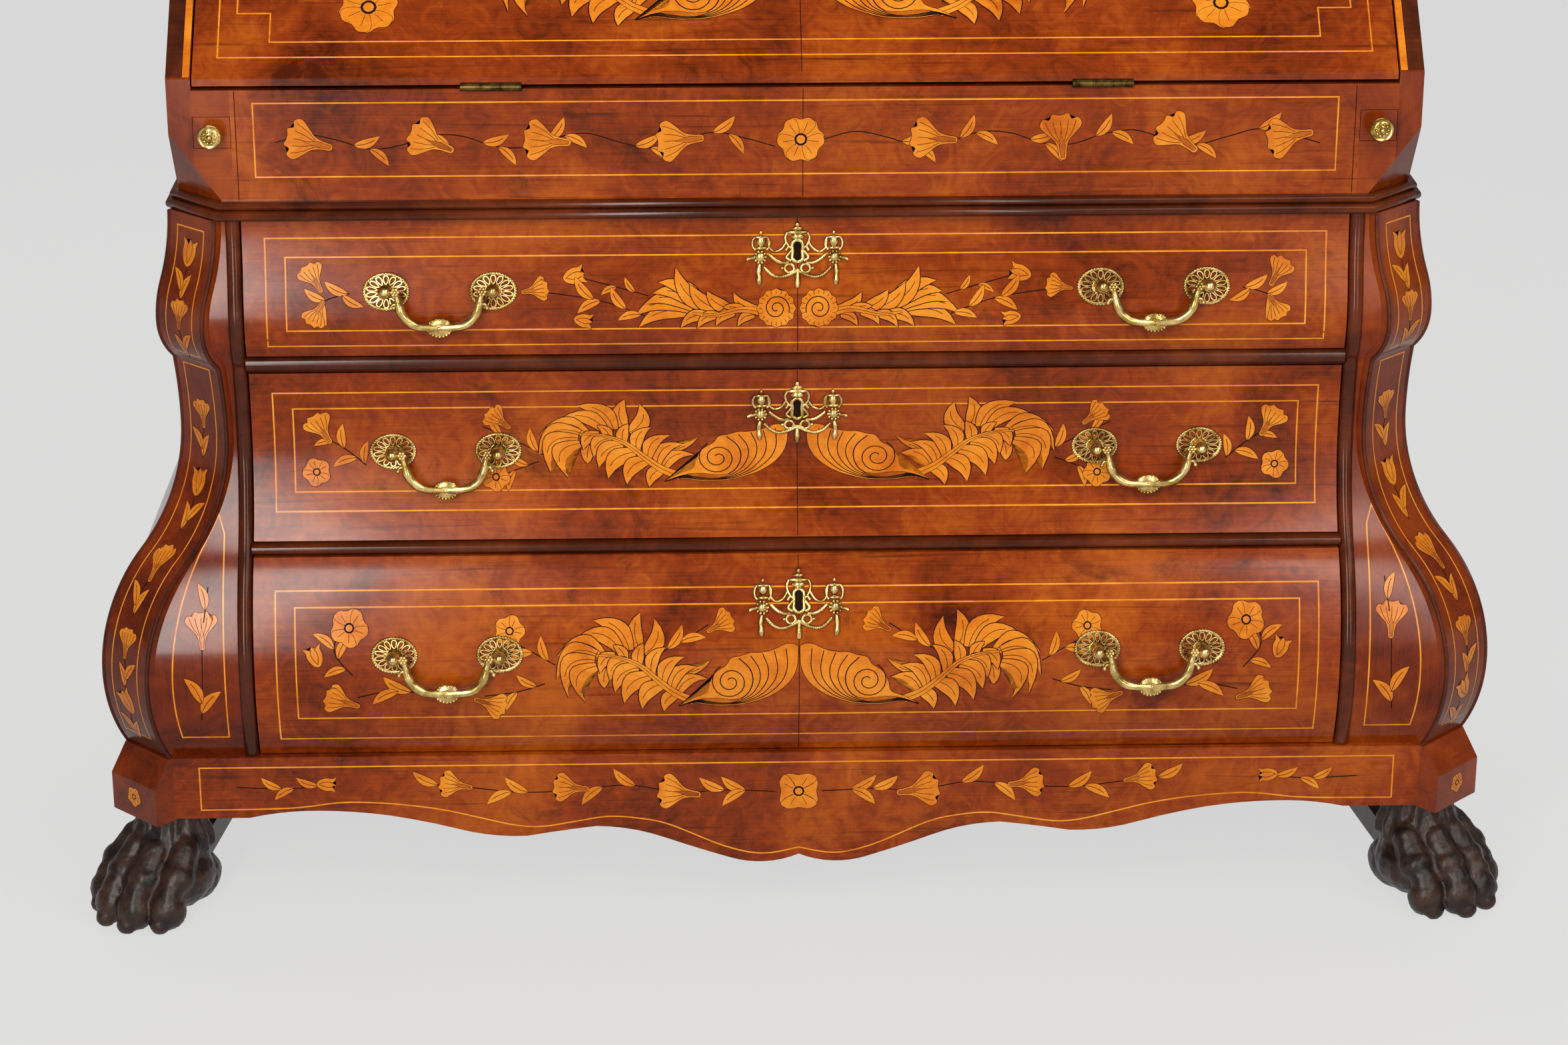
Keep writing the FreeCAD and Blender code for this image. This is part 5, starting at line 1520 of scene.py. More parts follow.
@dataclass
class FixedInlay:
    """Inlay of the frieze, apron, consoles, stiles and blocks."""

    frieze_half: float = 489.0
    frieze_rows: Point = (706.0, 774.0)
    apron_half: float = 562.0
    apron_inset: float = 10.0
    over_leaves: int = 16
    console_half: float = 19.0
    stile_inner: float = 532.0
    block_along: float = 104.0

    def build(self) -> None:
        """Inlay every fixed face of the front."""
        self.frieze()
        self.apron()
        for side in Side:
            self.console(side)
            self.stile(side)
            self.block(side)

    def frieze(self) -> None:
        """Row of lilies about a rose, on one winding stem."""
        inlay = Marquetry(UprightFace(FRIEZE_Y))
        inlay.stringing(rectangle(self.frieze_half, *self.frieze_rows))
        middle = sum(self.frieze_rows) / 2 - 2
        flowers = ((-439, 165), (-329, 155), (-225, 175), (-105, 185),
                   (124, 175), (239, 95), (346, 140), (447, 190))
        leaves = [leaf for share in (0.16, 0.28, 0.42, 0.55, 0.72, 0.88)
                  for leaf in ((share, 38, 25), (share + 0.03, -40, 23))]
        for start, end in ((-470, -20), (24, 474)):
            inlay.frame_at((0, 0))
            stem = [(start + (end - start) * step / 16, middle + 7 * math.sin(step * 1.45))
                    for step in range(17)]
            inlay.sprig(stem, leaves)
        for x, angle in flowers:
            inlay.level = self.over_leaves
            inlay.lily((x, middle), angle, 38.0)
        inlay.level = self.over_leaves
        inlay.blossom((3, middle), 30.0, 40.0, 6)
        inlay.frame_at((0, 0))
        for x in (5.0, -505.0, 505.0):
            inlay.seam(x, "frieze_panel")
        inlay.settle("frieze_marquetry", "carcass")

    def apron(self) -> None:
        """Flower garland over a line that follows the shaped edge."""
        edge = ((0, 66), (34, 60), (70, 68), (122, 91), (152, 98), (180, 100), (207, 96), (241, 90.5),
                (267, 92), (300, 100), (332, 108), (365, 113.5), (404, 117), (434, 117), (480, 112),
                (self.apron_half, 111))
        right = curve_through(edge, 5)
        top = PLINTH_TOP - self.apron_inset
        inlay = Marquetry(UprightFace(PLINTH_Y))
        inlay.stringing(right + [(self.apron_half, top), (-self.apron_half, top)]
                        + [(-u, v) for u, v in reversed(right[1:])])
        stem = ((22, 124), (70, 126), (112, 124), (160, 132), (210, 128), (262, 126), (330, 134), (352, 134))
        leaves = ((0.1, 30), (0.1, -38), (0.16, 30), (0.42, 36), (0.5, -36), (0.7, 34), (0.74, -34),
                  (0.9, 30))
        for flip in (-1, 1):
            inlay.frame_at((0, 0), flip)
            inlay.sprig(stem, [(share, turn, 27) for share, turn in leaves])
            for x, z, angle, size in ((112, 124, 8, 36), (214, 130, 5, 30), (322, 134, 10, 28)):
                inlay.level = 12
                inlay.lily((x, z), angle, size)
            inlay.frame_at((0, 0), flip)
            inlay.sprig(((440, 136), (480, 132), (528, 134)), ((0.2, 30, 22), (0.45, -30, 22), (0.6, 30, 22)),
                        ((TULIP, 444, 136, 185, 18),))
        inlay.frame_at((0, 0))
        inlay.blossom((0, 124), 0.0, 36.0, 4)
        inlay.settle("apron_marquetry", "carcass")

    def console(self, side: Side) -> None:
        """Trail of tulips between two lines on a corner console.

        Args:
            side: which side.
        """
        inlay = Marquetry(ConsoleFace(side.sign))
        for bottom, top in ((184.0, 524.0), (538.0, 655.0)):
            path = [(-self.console_half, bottom + (top - bottom) * step / 24) for step in range(25)]
            inlay.stringing(path + [(-u, v) for u, v in reversed(path)])
        places = ((205, 60), (262, 90), (330, 80), (398, 95), (462, 85), (562, 90), (618, 95))
        for index, (z, angle) in enumerate(places):
            inlay.frame_at((0, 0), 1 if index % 2 else -1)
            inlay.sprig(((0, z - 28), (2, z - 14), (0, z)), ((0.1, 30, 24), (0.35, -32, 24)),
                        ((LILY if index % 3 else TULIP, 0, z + 14, angle, 25),))
        inlay.settle(f"{side}_console_marquetry", "carcass")

    def stile(self, side: Side) -> None:
        """Pointed frame with a tulip on the foot of a stile.

        Args:
            side: which side.
        """
        inlay = Marquetry(BombeFront())
        inlay.frame_at((0, 0), side.sign)
        inner = self.stile_inner
        outer = [(max(534.0 + 0.62 * FRONT_SWELL.out(z), inner + 4), z) for z in range(186, 366, 12)]
        inlay.stringing([(inner, 186.0)] + outer + [(inner + 5.0, 388.0), (inner, 372.0)])
        inlay.sprig(((556, 205), (553, 245), (552, 280)), ((0.15, 35, 30), (0.3, -35, 30)),
                    ((LILY, 552, 292, 88, 30),))
        inlay.sprig(((550, 300), (546, 330)), ((0.4, -25, 24),))
        inlay.settle(f"{side}_stile_marquetry", "carcass")

    def block(self, side: Side) -> None:
        """Small flower on a plinth block.

        Args:
            side: which side.
        """
        inlay = Marquetry(BlockFace(side.sign, self.block_along))
        inlay.blossom((0, 122), 20.0, 18.0, 5)
        inlay.settle(f"{side}_block_marquetry", "carcass")


@dataclass
class FallInlay:
    """Double stringing with stepped corners, scrolls and a rosette on the fall."""

    half: float = 520.0
    start: float = 22.0
    end: float = 394.0
    corner: float = 30.0
    inset: float = 16.0
    slope: float = 46.0
    foot_rise: float = 6.5
    edging: Point = (544.2, 550.5)
    edging_ends: Point = (2.0, 416.0)

    def build(self) -> None:
        """Inlay the fall's outer face."""
        slope = math.radians(self.slope)
        foot = Vector((0, FRIEZE_Y, low("fall_front").z + self.foot_rise))
        inlay = Marquetry(SlopeFace(foot, Vector((0, math.cos(slope), math.sin(slope)))))
        for inset, notch in ((0.0, 0.0), (self.inset, self.corner)):
            half, bottom, top = self.half - inset, self.start + inset, self.end - inset
            right = [(half - notch, bottom), (half - notch, bottom + notch), (half, bottom + notch),
                     (half, top - notch), (half - notch, top - notch), (half - notch, top)]
            inlay.stringing(right + [(-u, v) for u, v in reversed(right)])
        for flip in (-1, 1):
            for stretch, origin in (((1.12, 1.1), 58.0), ((1.0, -0.95), 310.0)):
                inlay.frame_at((20 * flip, origin), flip, stretch)
                DrawerInlay.flame(inlay)
            inlay.frame_at((0, 0), flip)
            inlay.blossom((386, 74), 10.0, 50.0, 6)
            leaves = ((0.1, 40), (0.25, -40), (0.4, 40), (0.55, -40), (0.7, 40), (0.85, -40))
            inlay.sprig(((300, 160), (350, 200), (420, 190), (460, 240)),
                        [(share, turn, 40) for share, turn in leaves],
                        ((LILY, 464, 252, 70, 46), (TULIP, 350, 260, 80, 40)))
        inlay.frame_at((0, 0))
        inlay.blossom((0, 210), 0.0, 74.0, 6)
        inlay.stroke([(4, 4), (4, self.end + 18)], inlay.SEAM)
        inlay.settle("fall_marquetry", "fall")
        self.edge_lines(inlay.face)

    def edge_lines(self, face: Face) -> None:
        """Light and dark lines on the sloping edges of the desk's sides.

        Args:
            face: the plane of the slope.
        """
        inlay = Marquetry(face)
        bottom, top = self.edging_ends
        for side in (-1, 1):
            inlay.frame_at((0, 0), side)
            for (first, last), layer in ((self.edging, Inlay.BOXWOOD),
                                         ((self.edging[1] + 0.5, CASE_HALF - 0.6), Inlay.DARK)):
                inlay.piece([(first, bottom), (last, bottom), (last, top), (first, top)], layer)
        inlay.settle("desk_side_edging", "carcass")


# Cast brass

def spread_along(values: Sequence[float], count: int) -> list[float]:
    """Values spread evenly over a count of points, with straight steps between them.

    Args:
        values: values in order.
        count: count of points.

    Returns:
        One value for each point.
    """
    result = []
    for index in range(count):
        place = index / max(count - 1, 1) * (len(values) - 1)
        near = min(int(place), max(len(values) - 2, 0))
        far = min(near + 1, len(values) - 1)
        result.append(values[near] + (values[far] - values[near]) * (place - near))
    return result


class BeadRow:
    """Geometry Nodes tree that sets a small ball on every point of a mesh."""

    def __init__(self) -> None:
        """Build the tree with its named inputs."""
        tree = bpy.data.node_groups.new("bead_row", "GeometryNodeTree")
        for way in ("INPUT", "OUTPUT"):
            tree.interface.new_socket("Geometry", in_out=way, socket_type="NodeSocketGeometry")
        self.size, self.finish = (
            tree.interface.new_socket(name, in_out="INPUT", socket_type=f"NodeSocket{kind}")
            for name, kind in (("Size", "Float"), ("Finish", "Material")))
        start = add_node(tree, "NodeGroupInput")
        ball = add_node(tree, "GeometryNodeMeshUVSphere", {
            "Segments": 8, "Rings": 5, "Radius": start.outputs["Size"]})
        radius = add_node(tree, "GeometryNodeInputNamedAttribute", {"Name": "bead_radius"}, data_type="FLOAT")
        beads = add_node(tree, "GeometryNodeInstanceOnPoints", {
            "Points": start.outputs["Geometry"], "Instance": ball.outputs["Mesh"],
            "Scale": radius.outputs["Attribute"]})
        real = add_node(tree, "GeometryNodeRealizeInstances", {"Geometry": beads.outputs["Instances"]})
        dressed = add_node(tree, "GeometryNodeSetMaterial", {
            "Geometry": real.outputs["Geometry"], "Material": start.outputs["Finish"]})
        add_node(tree, "NodeGroupOutput", {"Geometry": dressed.outputs["Geometry"]})
        self.tree = tree
        self.places: list[Vector] = []
        self.radii: list[float] = []

    def add(self, places: Sequence[Vector], radius: float) -> None:
        """Keep places for beads of one radius, all in millimetres."""
        self.places += places
        self.radii += [radius] * len(places)

    def cast(self, shape: Shape) -> None:
        """Make every kept bead and add it to a shape.

        Args:
            shape: shape that takes the beads.
        """
        mesh = bpy.data.meshes.new("bead_places")
        mesh.from_pydata([place * MM for place in self.places], [], [])
        mesh.attributes.new("bead_radius", "FLOAT", "POINT").data.foreach_set("value", self.radii)
        holder = bpy.data.objects.new("bead_places", mesh)
        bpy.context.scene.collection.objects.link(holder)
        modifier = holder.modifiers.new("bead_row", "NODES")
        modifier.node_group = self.tree
        modifier[self.size.identifier] = MM
        modifier[self.finish.identifier] = material_of(Finish.BRASS)
        graph = bpy.context.evaluated_depsgraph_get()
        plain = bpy.data.meshes.new_from_object(holder.evaluated_get(graph))
        shape.add([vert.co / MM for vert in plain.vertices],
                  [tuple(face.vertices) for face in plain.polygons])
        bpy.data.objects.remove(holder)
        bpy.data.meshes.remove(plain)
        bpy.data.meshes.remove(mesh)
        self.places, self.radii = [], []


@dataclass
class DrawerBrasses:
    """Rosettes with posts, escutcheon and lock of one drawer, and its two bails."""

    level: Level
    beads: BeadRow
    handle_x: float = 326.0
    span: float = 97.5
    reach: float = 20.0
    rosette: Point = (22.0, 17.2)
    petals: int = 14
    rope_beads: int = 44
    weight: float = 1.3
    lock: Triple = (35.0, 9.5, 42.0)
    lock_drop: float = 8.0
    smooth_angle: float = 60.0
    face: BombeFront = field(default_factory=BombeFront)
    heights: dict = field(default_factory=lambda: {
        Level.TOP: 600.5, Level.MIDDLE: 444.0, Level.BOTTOM: 269.0})

    @staticmethod
    def key_height(level: Level) -> float:
        """Height of a drawer's keyhole."""
        return {Level.TOP: 634.5, Level.MIDDLE: 482.5, Level.BOTTOM: 314.0}[level]

    def build(self) -> None:
        """Build the fixed mounts and both bails."""
        shape = Shape()
        height = self.heights[self.level]
        for side in (-1, 1):
            for end in (-1, 1):
                self.rosette_on(shape, side * self.handle_x + end * self.span / 2, height)
        self.escutcheon(shape, self.key_height(self.level))
        half, deep, tall = self.lock
        back = high(f"drawer_{self.level}_front").y
        top = high(f"drawer_{self.level}_front").z - self.lock_drop
        shape.block((-half, back - deep, top - tall), (half, back + 0.2, top))
        self.beads.cast(shape)
        piece = shape.piece(f"{self.level}_drawer_brasses", Finish.BRASS, self.smooth_angle)
        settle(piece, f"drawer_{self.level}", "brass", f"drawer_{self.level}_brasses")
        for side in Side:
            self.bail(side, height)

    def _normal(self, z: float) -> Vector:
        """Outward direction of the front at a height."""
        return self.face.place(0, z, 1.0) - self.face.place(0, z, 0.0)

    def cord(self, shape: Shape, points: Sequence[Point], radii: Sequence[float], lift: float,
             closed: bool = False, sides: int = 7) -> None:
        """Lay a round cord on the front.

        Args:
            shape: shape that takes it.
            points: its path as (x, height).
            radii: radii spread evenly along it.
            lift: how high its middle stands off the wood.
            closed: whether it joins up.
            sides: corners round it.
        """
        path = [self.face.place(u, v, lift) for u, v in points]
        normals = [self._normal(v) for _, v in points]
        shape.tube(path, spread_along(radii, len(path)), sides, normals, closed)

    def rosette_on(self, shape: Shape, x: float, z: float) -> None:
        """Pierced oval rosette with a roped rim, and its post.

        Args:
            shape: shape that takes it.
            x: place across.
            z: height.
        """
        wide, tall = self.rosette
        for share, count, radius in ((0.9, 36, 1.9), (0.34, 20, 1.1)):
            self.cord(shape, ring(count, wide * share, tall * share, (x, z)), (radius,), 1.0, True)
        rim = ring(self.rope_beads, wide * 0.93, tall * 0.93, (x, z))
        self.beads.add([self.face.place(u, v, 2.1) for u, v in rim], 1.35)
        for petal in range(self.petals):
            turn = 2 * math.pi * (petal + 0.5) / self.petals
            loop = []
            for step in range(14):
                angle = 2 * math.pi * step / 14
                along = 0.6 + 0.22 * math.cos(angle)
                across = 0.135 * math.sin(angle) * (0.75 + 0.25 * math.cos(angle))
                loop.append((x + wide * (along * math.cos(turn) - across * math.sin(turn)),
                             z + tall * (along * math.sin(turn) + across * math.cos(turn))))
            self.cord(shape, loop, (0.9,), 1.6, True, 6)
        normal = self._normal(z)
        profile = ((7.0, 0.0), (7.0, 1.8), (4.6, 3.2), (3.6, 8.0), (3.8, 14.0), (6.2, 16.0), (6.6, 19.0),
                   (5.4, 22.0), (4.6, 22.4), (4.2, 24.2), (2.6, 25.6), (0.4, 26.0))
        shape.turned(self.face.place(x, z, 0.0), normal, profile, 16)

    def escutcheon(self, shape: Shape, z: float) -> None:
        """Pierced plate of three urns, garlands, a bow and tassels.

        Args:
            shape: shape that takes it.
            z: height of the keyhole.
        """
        def path(points: Sequence[Point], side: int = 1, closed: bool = False) -> list[Point]:
            """Smooth path on the plate, mirrored to a side."""
            return [(side * u, z + v) for u, v in curve_through(points, 6, closed)]

        def knob(u: float, v: float, size: Sequence[float]) -> None:
            """Set a small ball on the plate."""
            halves = [self.weight * 0.88 * half for half in size]
            shape.ball(self.face.place(u, z + v, 1.4), halves, 6, 10)

        def cord(points: list[Point], radii: Sequence[float], closed: bool = False) -> None:
            """Lay a cord on the plate."""
            self.cord(shape, points, [self.weight * radius for radius in radii], 1.4, closed)

        hole = ((0, 10), (4.6, 7), (4.4, 0), (4.6, -7), (0, -10), (-4.6, -7), (-4.4, 0), (-4.6, 7))
        cord(path(hole, closed=True), (1.5,), True)
        for v, size in ((24.5, (2.2, 2.0, 2.4)), (20.8, (4.6, 1.8, 1.9)), (17.2, (9.4, 2.0, 1.9)),
                        (13.2, (5.6, 2.4, 2.8))):
            knob(0, v, size)
        cord(path(((0, -19), (0, -25), (0, -33))), (1.3, 1.9, 2.3, 1.5))
        knob(0, -18, (2.3, 2.0, 2.3))
        urn, swag = 33.2, ((30, -15), (24, -21), (17, -23.4), (9, -22), (1.5, -18.5))
        for side in (-1, 1):
            cord(path(((9.2, 17), (11, 13), (10.2, 8), (7, 3)), side), (1.1,))
            cord(path(((10.2, 8), (15, 1.5), (21, -0.5), (25.5, 3), (26.6, 11)), side), (1.1, 0.9, 1.1))
            cord(path(((10.4, 0.5), (7.6, 4), (5, 1), (7.4, -2), (10, -6), (6, -9)), side), (1.2,))
            for v, size in ((17.0, (1.6, 1.6, 1.9)), (12.8, (6.6, 1.8, 1.4)), (8.6, (3.6, 2.2, 4.4)),
                            (2.8, (5.6, 2.0, 1.6))):
                knob(side * urn, v, size)
            for turn in (-1, 1):
                ear = ((5.8, 12.6), (7.8, 9), (7.4, 4), (5.4, 1))
                cord(path([(urn + turn * u, v) for u, v in ear], side), (1.0,))
            rosette = ring(10, 5.2, 5.2, (34, -5.6))
            self.beads.add([self.face.place(side * u, z + v, 1.6) for u, v in rosette], 1.5)
            knob(side * 34, -5.6, (4.2, 2.6, 4.2))
            cord(path(((39, -6), (43, -6.6), (46, -8)), side), (1.2, 1.5))
            cord(path(((26, -3), (21, -7.5), (15, -10.6), (8, -10.8)), side), (1.3, 1.6, 1.2))
            tassel = ((34.5, -12), (35.5, -18), (35.2, -24), (34.8, -30.5))
            cord(path(tassel, side), (1.4, 2.1, 1.7, 2.4, 1.2))
            cord(path(swag, side), (1.4,))
            rope = curve_through(swag, 4)
            self.beads.add([self.face.place(side * u, z + v, 2.2) for u, v in rope], 1.3)
            cord([(side * u, z + v) for u, v in ring(12, 4.3, 3.9, (7.4, -15.8))], (1.2,), True)
            knob(side * 13.6, -15.6, (2.0, 1.5, 1.3))

    def bail(self, side: Side, z: float) -> None:
        """Swinging handle with leafy legs and a beaded medallion.

        Args:
            side: which handle.
            z: height of its posts.
        """
        axis = self.face.place(side.sign * self.handle_x, z, self.reach)
        shape = Shape()

        def at(u: float, v: float, out: float = 0.0) -> Vector:
            """Point of the bail, seen from its axis."""
            return axis + Vector((u, -out, v))

        leg = ((42.6, 0), (39.5, -1.5), (37.4, -7), (36, -14), (33, -22), (27, -29), (18, -33), (0, -34.2))
        right = curve_through(leg, 6)
        path = right + [(-u, v) for u, v in reversed(right[:-1])]
        waves = (2.9, 2.7, 2.8, 3.8, 4.8, 4.3, 4.6, 4.2, 3.7)
        sizes = spread_along(waves, len(right))
        shape.tube([at(u, v) for u, v in path], sizes + sizes[-2::-1], 10)
        curl = curve_through(((35.8, -13), (38.5, -11.5), (42, -12.2), (43.6, -15)), 5)
        leaf = curve_through(((36.5, -9), (34.2, -15), (31.5, -19), (29.5, -24.5)), 5)
        for end in (-1, 1):
            shape.tube([at(end * u, 0) for u in (41.0, 53.0)], (1.5, 1.5), 8)
            berries = [at(u, v, 2.4) for u, v in ring(6, 2.9, 2.9, (end * 39.4, 0.4))]
            self.beads.add([at(end * 39.4, 0.4, 3.2)] + berries, 1.75)
            shape.tube([at(end * u, v, 0.6) for u, v in curl],
                       [1.9 - 0.03 * index for index in range(len(curl))], 8)
            shape.ball(at(end * 43.6, -15.4, 0.6), (2.1, 2.1, 2.1), 6, 8)
            shape.tube([at(end * u, v, 2.4) for u, v in leaf],
                       [1.5 - 0.04 * index for index in range(len(leaf))], 8)
            shape.ball(at(end * 13.4, -33.9), (1.6, 3.7, 4.4), 6, 10)
        middle = (0.0, -34.0)
        shape.ball(at(*middle), (12.0, 3.0, 9.4), 8, 24)
        self.beads.add([at(u, v, 1.8) for u, v in ring(20, 10.6, 8.2, middle)], 1.2)
        inner = [at(u, v, 2.4) for u, v in ring(20, 5.8, 3.6, middle)]
        shape.tube(inner, [0.8] * 20, 6, [Vector((0, -1, 0))] * 20, True)
        shape.ball(at(*middle, 2.0), (3.6, 2.2, 2.0), 6, 12)
        self.beads.cast(shape)
        piece = shape.piece(f"{self.level}_{side}_bail", Finish.BRASS, self.smooth_angle)
        settle(piece, f"bail_{self.level}_{side}", "brass", f"bail_{self.level}_{side}")


@dataclass
class LoperKnobs:
    """Turned knobs with a rosette on the lopers' ends."""

    beads: BeadRow

    def build(self) -> None:
        """Build both knobs."""
        for side in Side:
            node = f"loper_knob_{side}"
            first, last = low(node), high(node)
            base = Vector(((first.x + last.x) / 2, last.y, (first.z + last.z) / 2))
            ahead = Vector((0, -1, 0))
            shape = Shape()
            profile = ((6.5, 0.0), (6.5, 2.0), (3.8, 4.0), (3.6, 9.0), (6.0, 12.5), (10.2, 14.5),
                       (11.0, 16.0), (11.0, 17.6), (10.0, 18.6), (9.0, 18.0), (8.2, 17.8), (7.4, 18.6),
                       (0.4, 19.4))
            shape.turned(base, ahead, profile, 24)
            petals = [base + ahead * 19.2 + Vector((u, 0, v)) for u, v in ring(10, 5.4, 5.4)]
            self.beads.add(petals, 1.6)
            self.beads.add([base + ahead * 20.0], 3.0)
            self.beads.cast(shape)
            settle(shape.piece(f"{side}_loper_knob", Finish.BRASS, 50.0), f"loper_{side}", "brass", node)


# Carved feet

@dataclass
class PawFeet:
    """Ebonised hairy paws under the front corners, as one blended carving each."""

    turn: float = 38.0
    seat: float = 62.0
    voxel: float = 1.8
    toes: tuple = ((54.0, -38.0), (72.0, -13.5), (72.0, 13.5), (54.0, 38.0))
    strands: int = 11
    furrow: Triple = (9.0, 30.0, 0.9)
    pit: Point = (3.2, 0.35)
    smooth_angle: float = 70.0

    def build(self) -> None:
        """Carve both paws."""
        for side in Side:
            self.paw(side)

    def paw(self, side: Side) -> None:
        """Carve one paw from blended balls and bars.

        Args:
            side: which side.
        """
        sign, swing = side.sign, math.radians(self.turn)
        ahead = Vector((sign * math.sin(swing), -math.cos(swing), 0))
        across = Vector((math.cos(swing), sign * math.sin(swing), 0))
        seat = Vector((sign * (BLOCK_X + self.seat * ROOT_HALF), BLOCK_Y - self.seat * ROOT_HALF, 0))

        def at(a: float, c: float, z: float) -> Vector:
            """Point ahead of, across and above the paw's seat."""
            return seat + ahead * a + across * c + Vector((0, 0, z))

        rough = Shape()
        ankle = ((-2, 100.5), (-1, 84), (4, 66), (8, 44))
        rough.tube([at(a, 0, z) for a, z in ankle], (31.0, 33.0, 38.0, 42.0), 20)
        rough.ball(at(18, 0, 36), (52, 50, 35), 12, 20)
        rough.ball(at(-14, 0, 23), (34, 40, 26), 10, 18)
        for a, c in self.toes:
            knuckle, tip = at(a - 20, c, 47), at(a - 4, c * 1.03, 20)
            rough.tube([at(6, c * 0.5, 80), at(a - 38, c * 0.85, 67), knuckle], (11.0, 14.0, 15.0), 12)
            rough.ball(knuckle, (17.5, 17.5, 15.5), 10, 16)
            rough.tube([knuckle, at(a - 8, c * 1.03, 36), tip], (14.0, 13.5, 16.0), 12)
            rough.ball(tip, (18.0, 17.0, 20.0), 10, 16)
            rough.ball(at(a + 7, c * 1.03, 9), (10.0, 8.5, 9.5), 8, 12)
        for index in range(self.strands):
            angle = math.radians(-125 + 250 * index / (self.strands - 1))
            rows = []
            for step, (radius, z) in enumerate(((29.0, 99), (31.0, 86), (35.0, 72), (38.0, 60))):
                lean = angle + 0.05 * math.sin(2.0 * step + index)
                rows.append(at(radius * math.cos(lean), radius * math.sin(lean), z))
            rough.tube(rows, (3.0, 4.6, 5.0, 2.4), 8)
        self._carve(rough, f"{side}_paw", f"paw_foot_{side}")

    def _carve(self, rough: Shape, name: str, node: str) -> None:
        """Blend the rough shape, roughen its skin and stand it on the floor.

        Args:
            rough: balls and bars of the paw.
            name: name of the piece.
            node: CAD node that it replaces.
        """
        block = rough.piece(f"{name}_rough", Finish.EBONY)
        blend = block.modifiers.new("blend", "REMESH")
        blend.mode = "VOXEL"
        blend.voxel_size = self.voxel * MM
        block.modifiers.new("relax", "SMOOTH").iterations = 3
        graph = bpy.context.evaluated_depsgraph_get()
        mesh = bpy.data.meshes.new_from_object(block.evaluated_get(graph))
        bpy.data.objects.remove(block)
        top = PLINTH_TOP * MM
        wide, tall, deep = self.furrow
        pit_width, pit_depth = self.pit
        carved = []
        for vert in mesh.vertices:
            place = vert.co / MM
            furrow = noise.noise(Vector((place.x / wide, place.y / wide, place.z / tall))) * deep
            pitting = noise.noise(place / pit_width) * pit_depth
            x, y, z = vert.co + vert.normal * ((furrow + pitting) * MM)
            carved += [x, y, min(max(z, 0.0), top)]
        mesh.vertices.foreach_set("co", carved)
        mesh.update()
        mesh.materials.clear()
        mesh.name = name
        piece = finish_object(name, mesh, Finish.EBONY, self.smooth_angle)
        settle(piece, "carcass", "ebonised", node)


# Studio

@dataclass(frozen=True)
class SoftBox:
    """A rectangular light: place and size in metres, power in watts."""

    name: str
    place: Triple
    size: Point
    power: float


SOFT_BOXES = (SoftBox("left_window", (-0.95, -3.0, 1.6), (0.34, 3.0), 84.0),
              SoftBox("right_window", (1.24, -3.0, 1.6), (0.25, 3.0), 37.0),
              SoftBox("right_soft_box", (2.6, -2.3, 3.2), (2.4, 2.0), 44.0),
              SoftBox("overhead_soft_box", (0.0, 1.1, 3.4), (3.0, 1.5), 48.0))


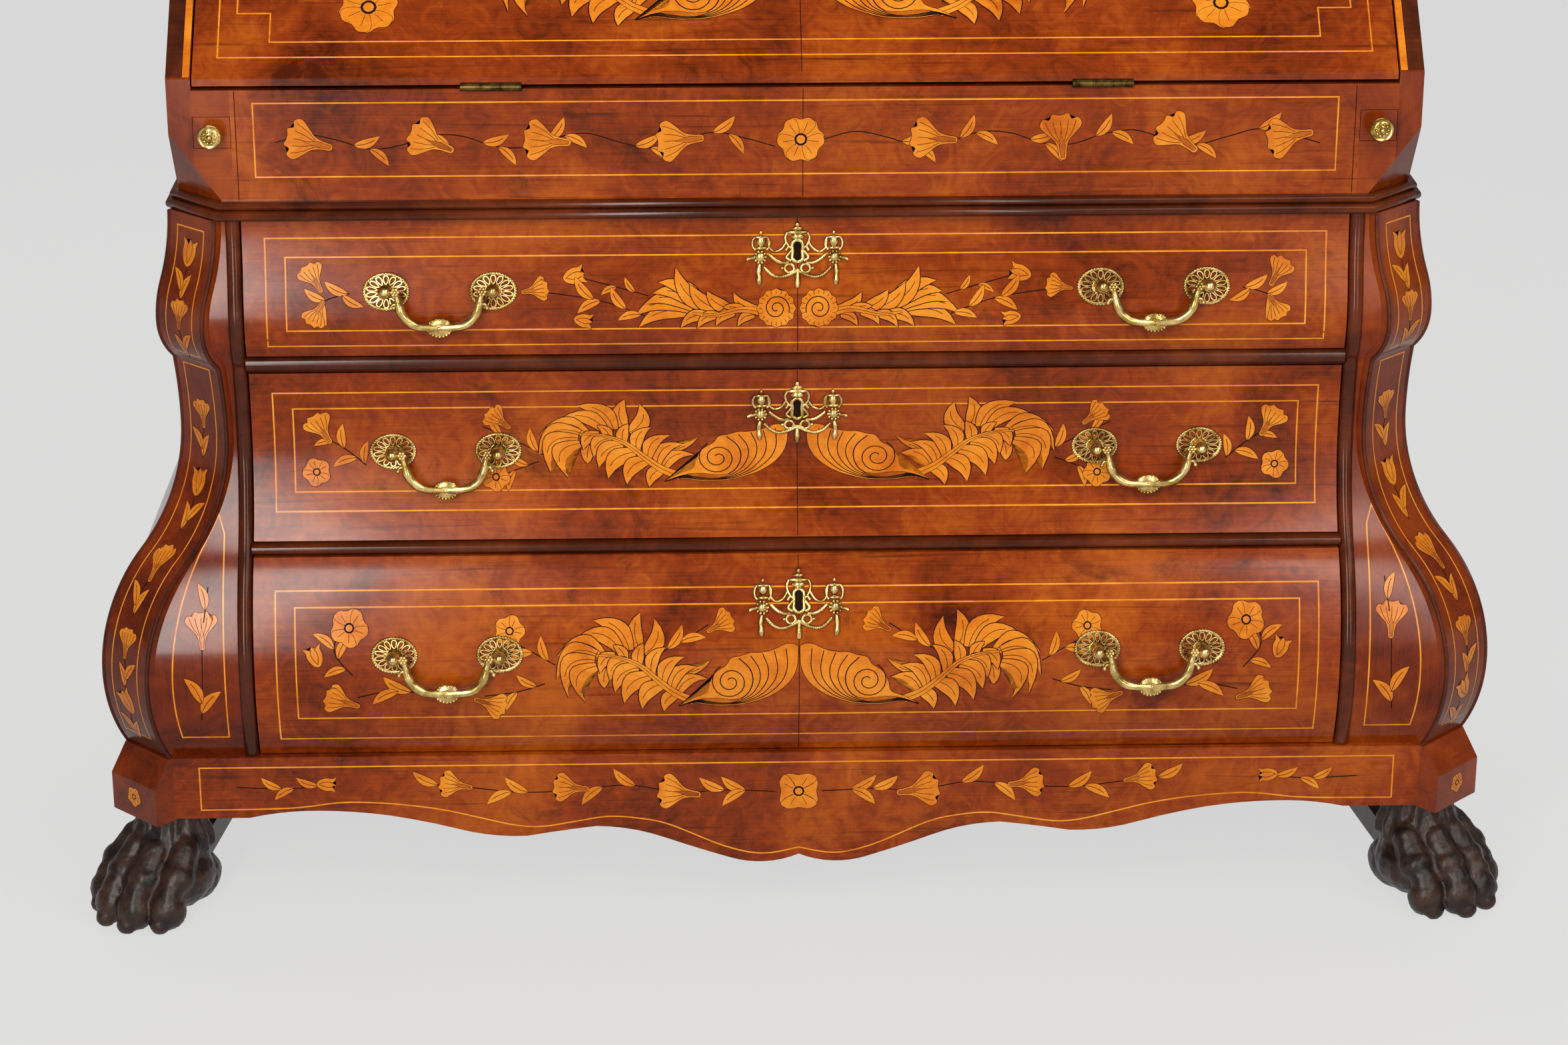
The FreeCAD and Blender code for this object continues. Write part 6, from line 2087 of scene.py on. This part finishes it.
@dataclass
class Studio:
    """Floor, lights and the camera at the photograph's place, with lengths in millimetres."""

    camera_place: Point = (-97.8, 1551.6)
    camera_ahead: float = 3228.6
    pitch: float = 20.1
    yaw: float = 1.52
    focal_px: float = 5507.0
    image_px: float = 2353.0
    floor_half: float = 60000.0
    floor_glow: float = 0.64
    room: float = 0.2
    lamp_tint: Triple = (1.0, 0.97, 0.93)
    lamp_aim: float = 450.0
    sensor_mm: float = 36.0

    def build(self) -> None:
        """Set up the whole studio."""
        self.floor()
        self.lights()
        self.camera()
        bpy.context.scene.view_settings.view_transform = "Standard"

    def floor(self) -> None:
        """Pale floor that reaches past the camera's view and keeps the shadow."""
        half = self.floor_half
        corners = [(-half, -half, 0), (half, -half, 0), (half, half, 0), (-half, half, 0)]
        floor = Shape().add(corners, [(0, 1, 2, 3)]).piece("studio_floor", Finish.FLOOR)
        tree = floor.data.materials[0].node_tree
        rays = add_node(tree, "ShaderNodeLightPath").outputs
        seen = rays["Is Camera Ray"]
        for kind in ("Is Glossy Ray", "Is Transmission Ray"):
            seen = add_node(tree, "ShaderNodeMath", {0: seen, 1: rays[kind]}, operation="MAXIMUM").outputs[0]
        glow = add_node(tree, "ShaderNodeMath", {0: seen, 1: self.floor_glow}, operation="MULTIPLY")
        feed(tree, tree.nodes["Principled BSDF"], {"Emission Color": (1.0, 1.0, 1.0, 1.0),
                                                   "Emission Strength": glow.outputs[0]})

    def lights(self) -> None:
        """Two tall narrow windows that the bombe front mirrors, two soft boxes and a dim even room."""
        world = bpy.context.scene.world or bpy.data.worlds.new("Studio")
        bpy.context.scene.world = world
        world.use_nodes = True
        feed(world.node_tree, world.node_tree.nodes["Background"],
             {"Color": (1.0, 1.0, 1.0, 1.0), "Strength": self.room})
        for box in SOFT_BOXES:
            lamp = bpy.data.lights.new(box.name, "AREA")
            lamp.shape = "RECTANGLE"
            lamp.size, lamp.size_y = box.size
            lamp.energy = box.power
            lamp.color = self.lamp_tint
            holder = bpy.data.objects.new(box.name, lamp)
            holder.location = box.place
            aim = Vector((0, 0, self.lamp_aim * MM)) - Vector(box.place)
            holder.rotation_euler = aim.to_track_quat("-Z", "Y").to_euler()
            bpy.context.scene.collection.objects.link(holder)

    def camera(self) -> None:
        """Camera solved from the photograph."""
        data = bpy.data.cameras.new("photo_camera")
        data.sensor_width = self.sensor_mm
        data.lens = self.focal_px / self.image_px * self.sensor_mm
        camera = bpy.data.objects.new("photo_camera", data)
        x, z = self.camera_place
        camera.location = Vector((x, FRIEZE_Y - self.camera_ahead, z)) * MM
        camera.rotation_euler = (math.radians(90 - self.pitch), 0, math.radians(-self.yaw))
        bpy.context.scene.collection.objects.link(camera)
        bpy.context.scene.camera = camera


def main() -> None:
    """Build the bureau's looks piece by piece."""
    logging.basicConfig(level=logging.INFO, format="%(name)s %(message)s")
    Chest().build()
    Mouldings().build()
    BackBoards().build()
    DrawerInlay().build()
    FixedInlay().build()
    FallInlay().build()
    beads = BeadRow()
    for level in Level:
        DrawerBrasses(level, beads).build()
    LoperKnobs(beads).build()
    PawFeet().build()
    dress_plain_nodes()
    Studio().build()


if __name__ == "__main__":
    main()
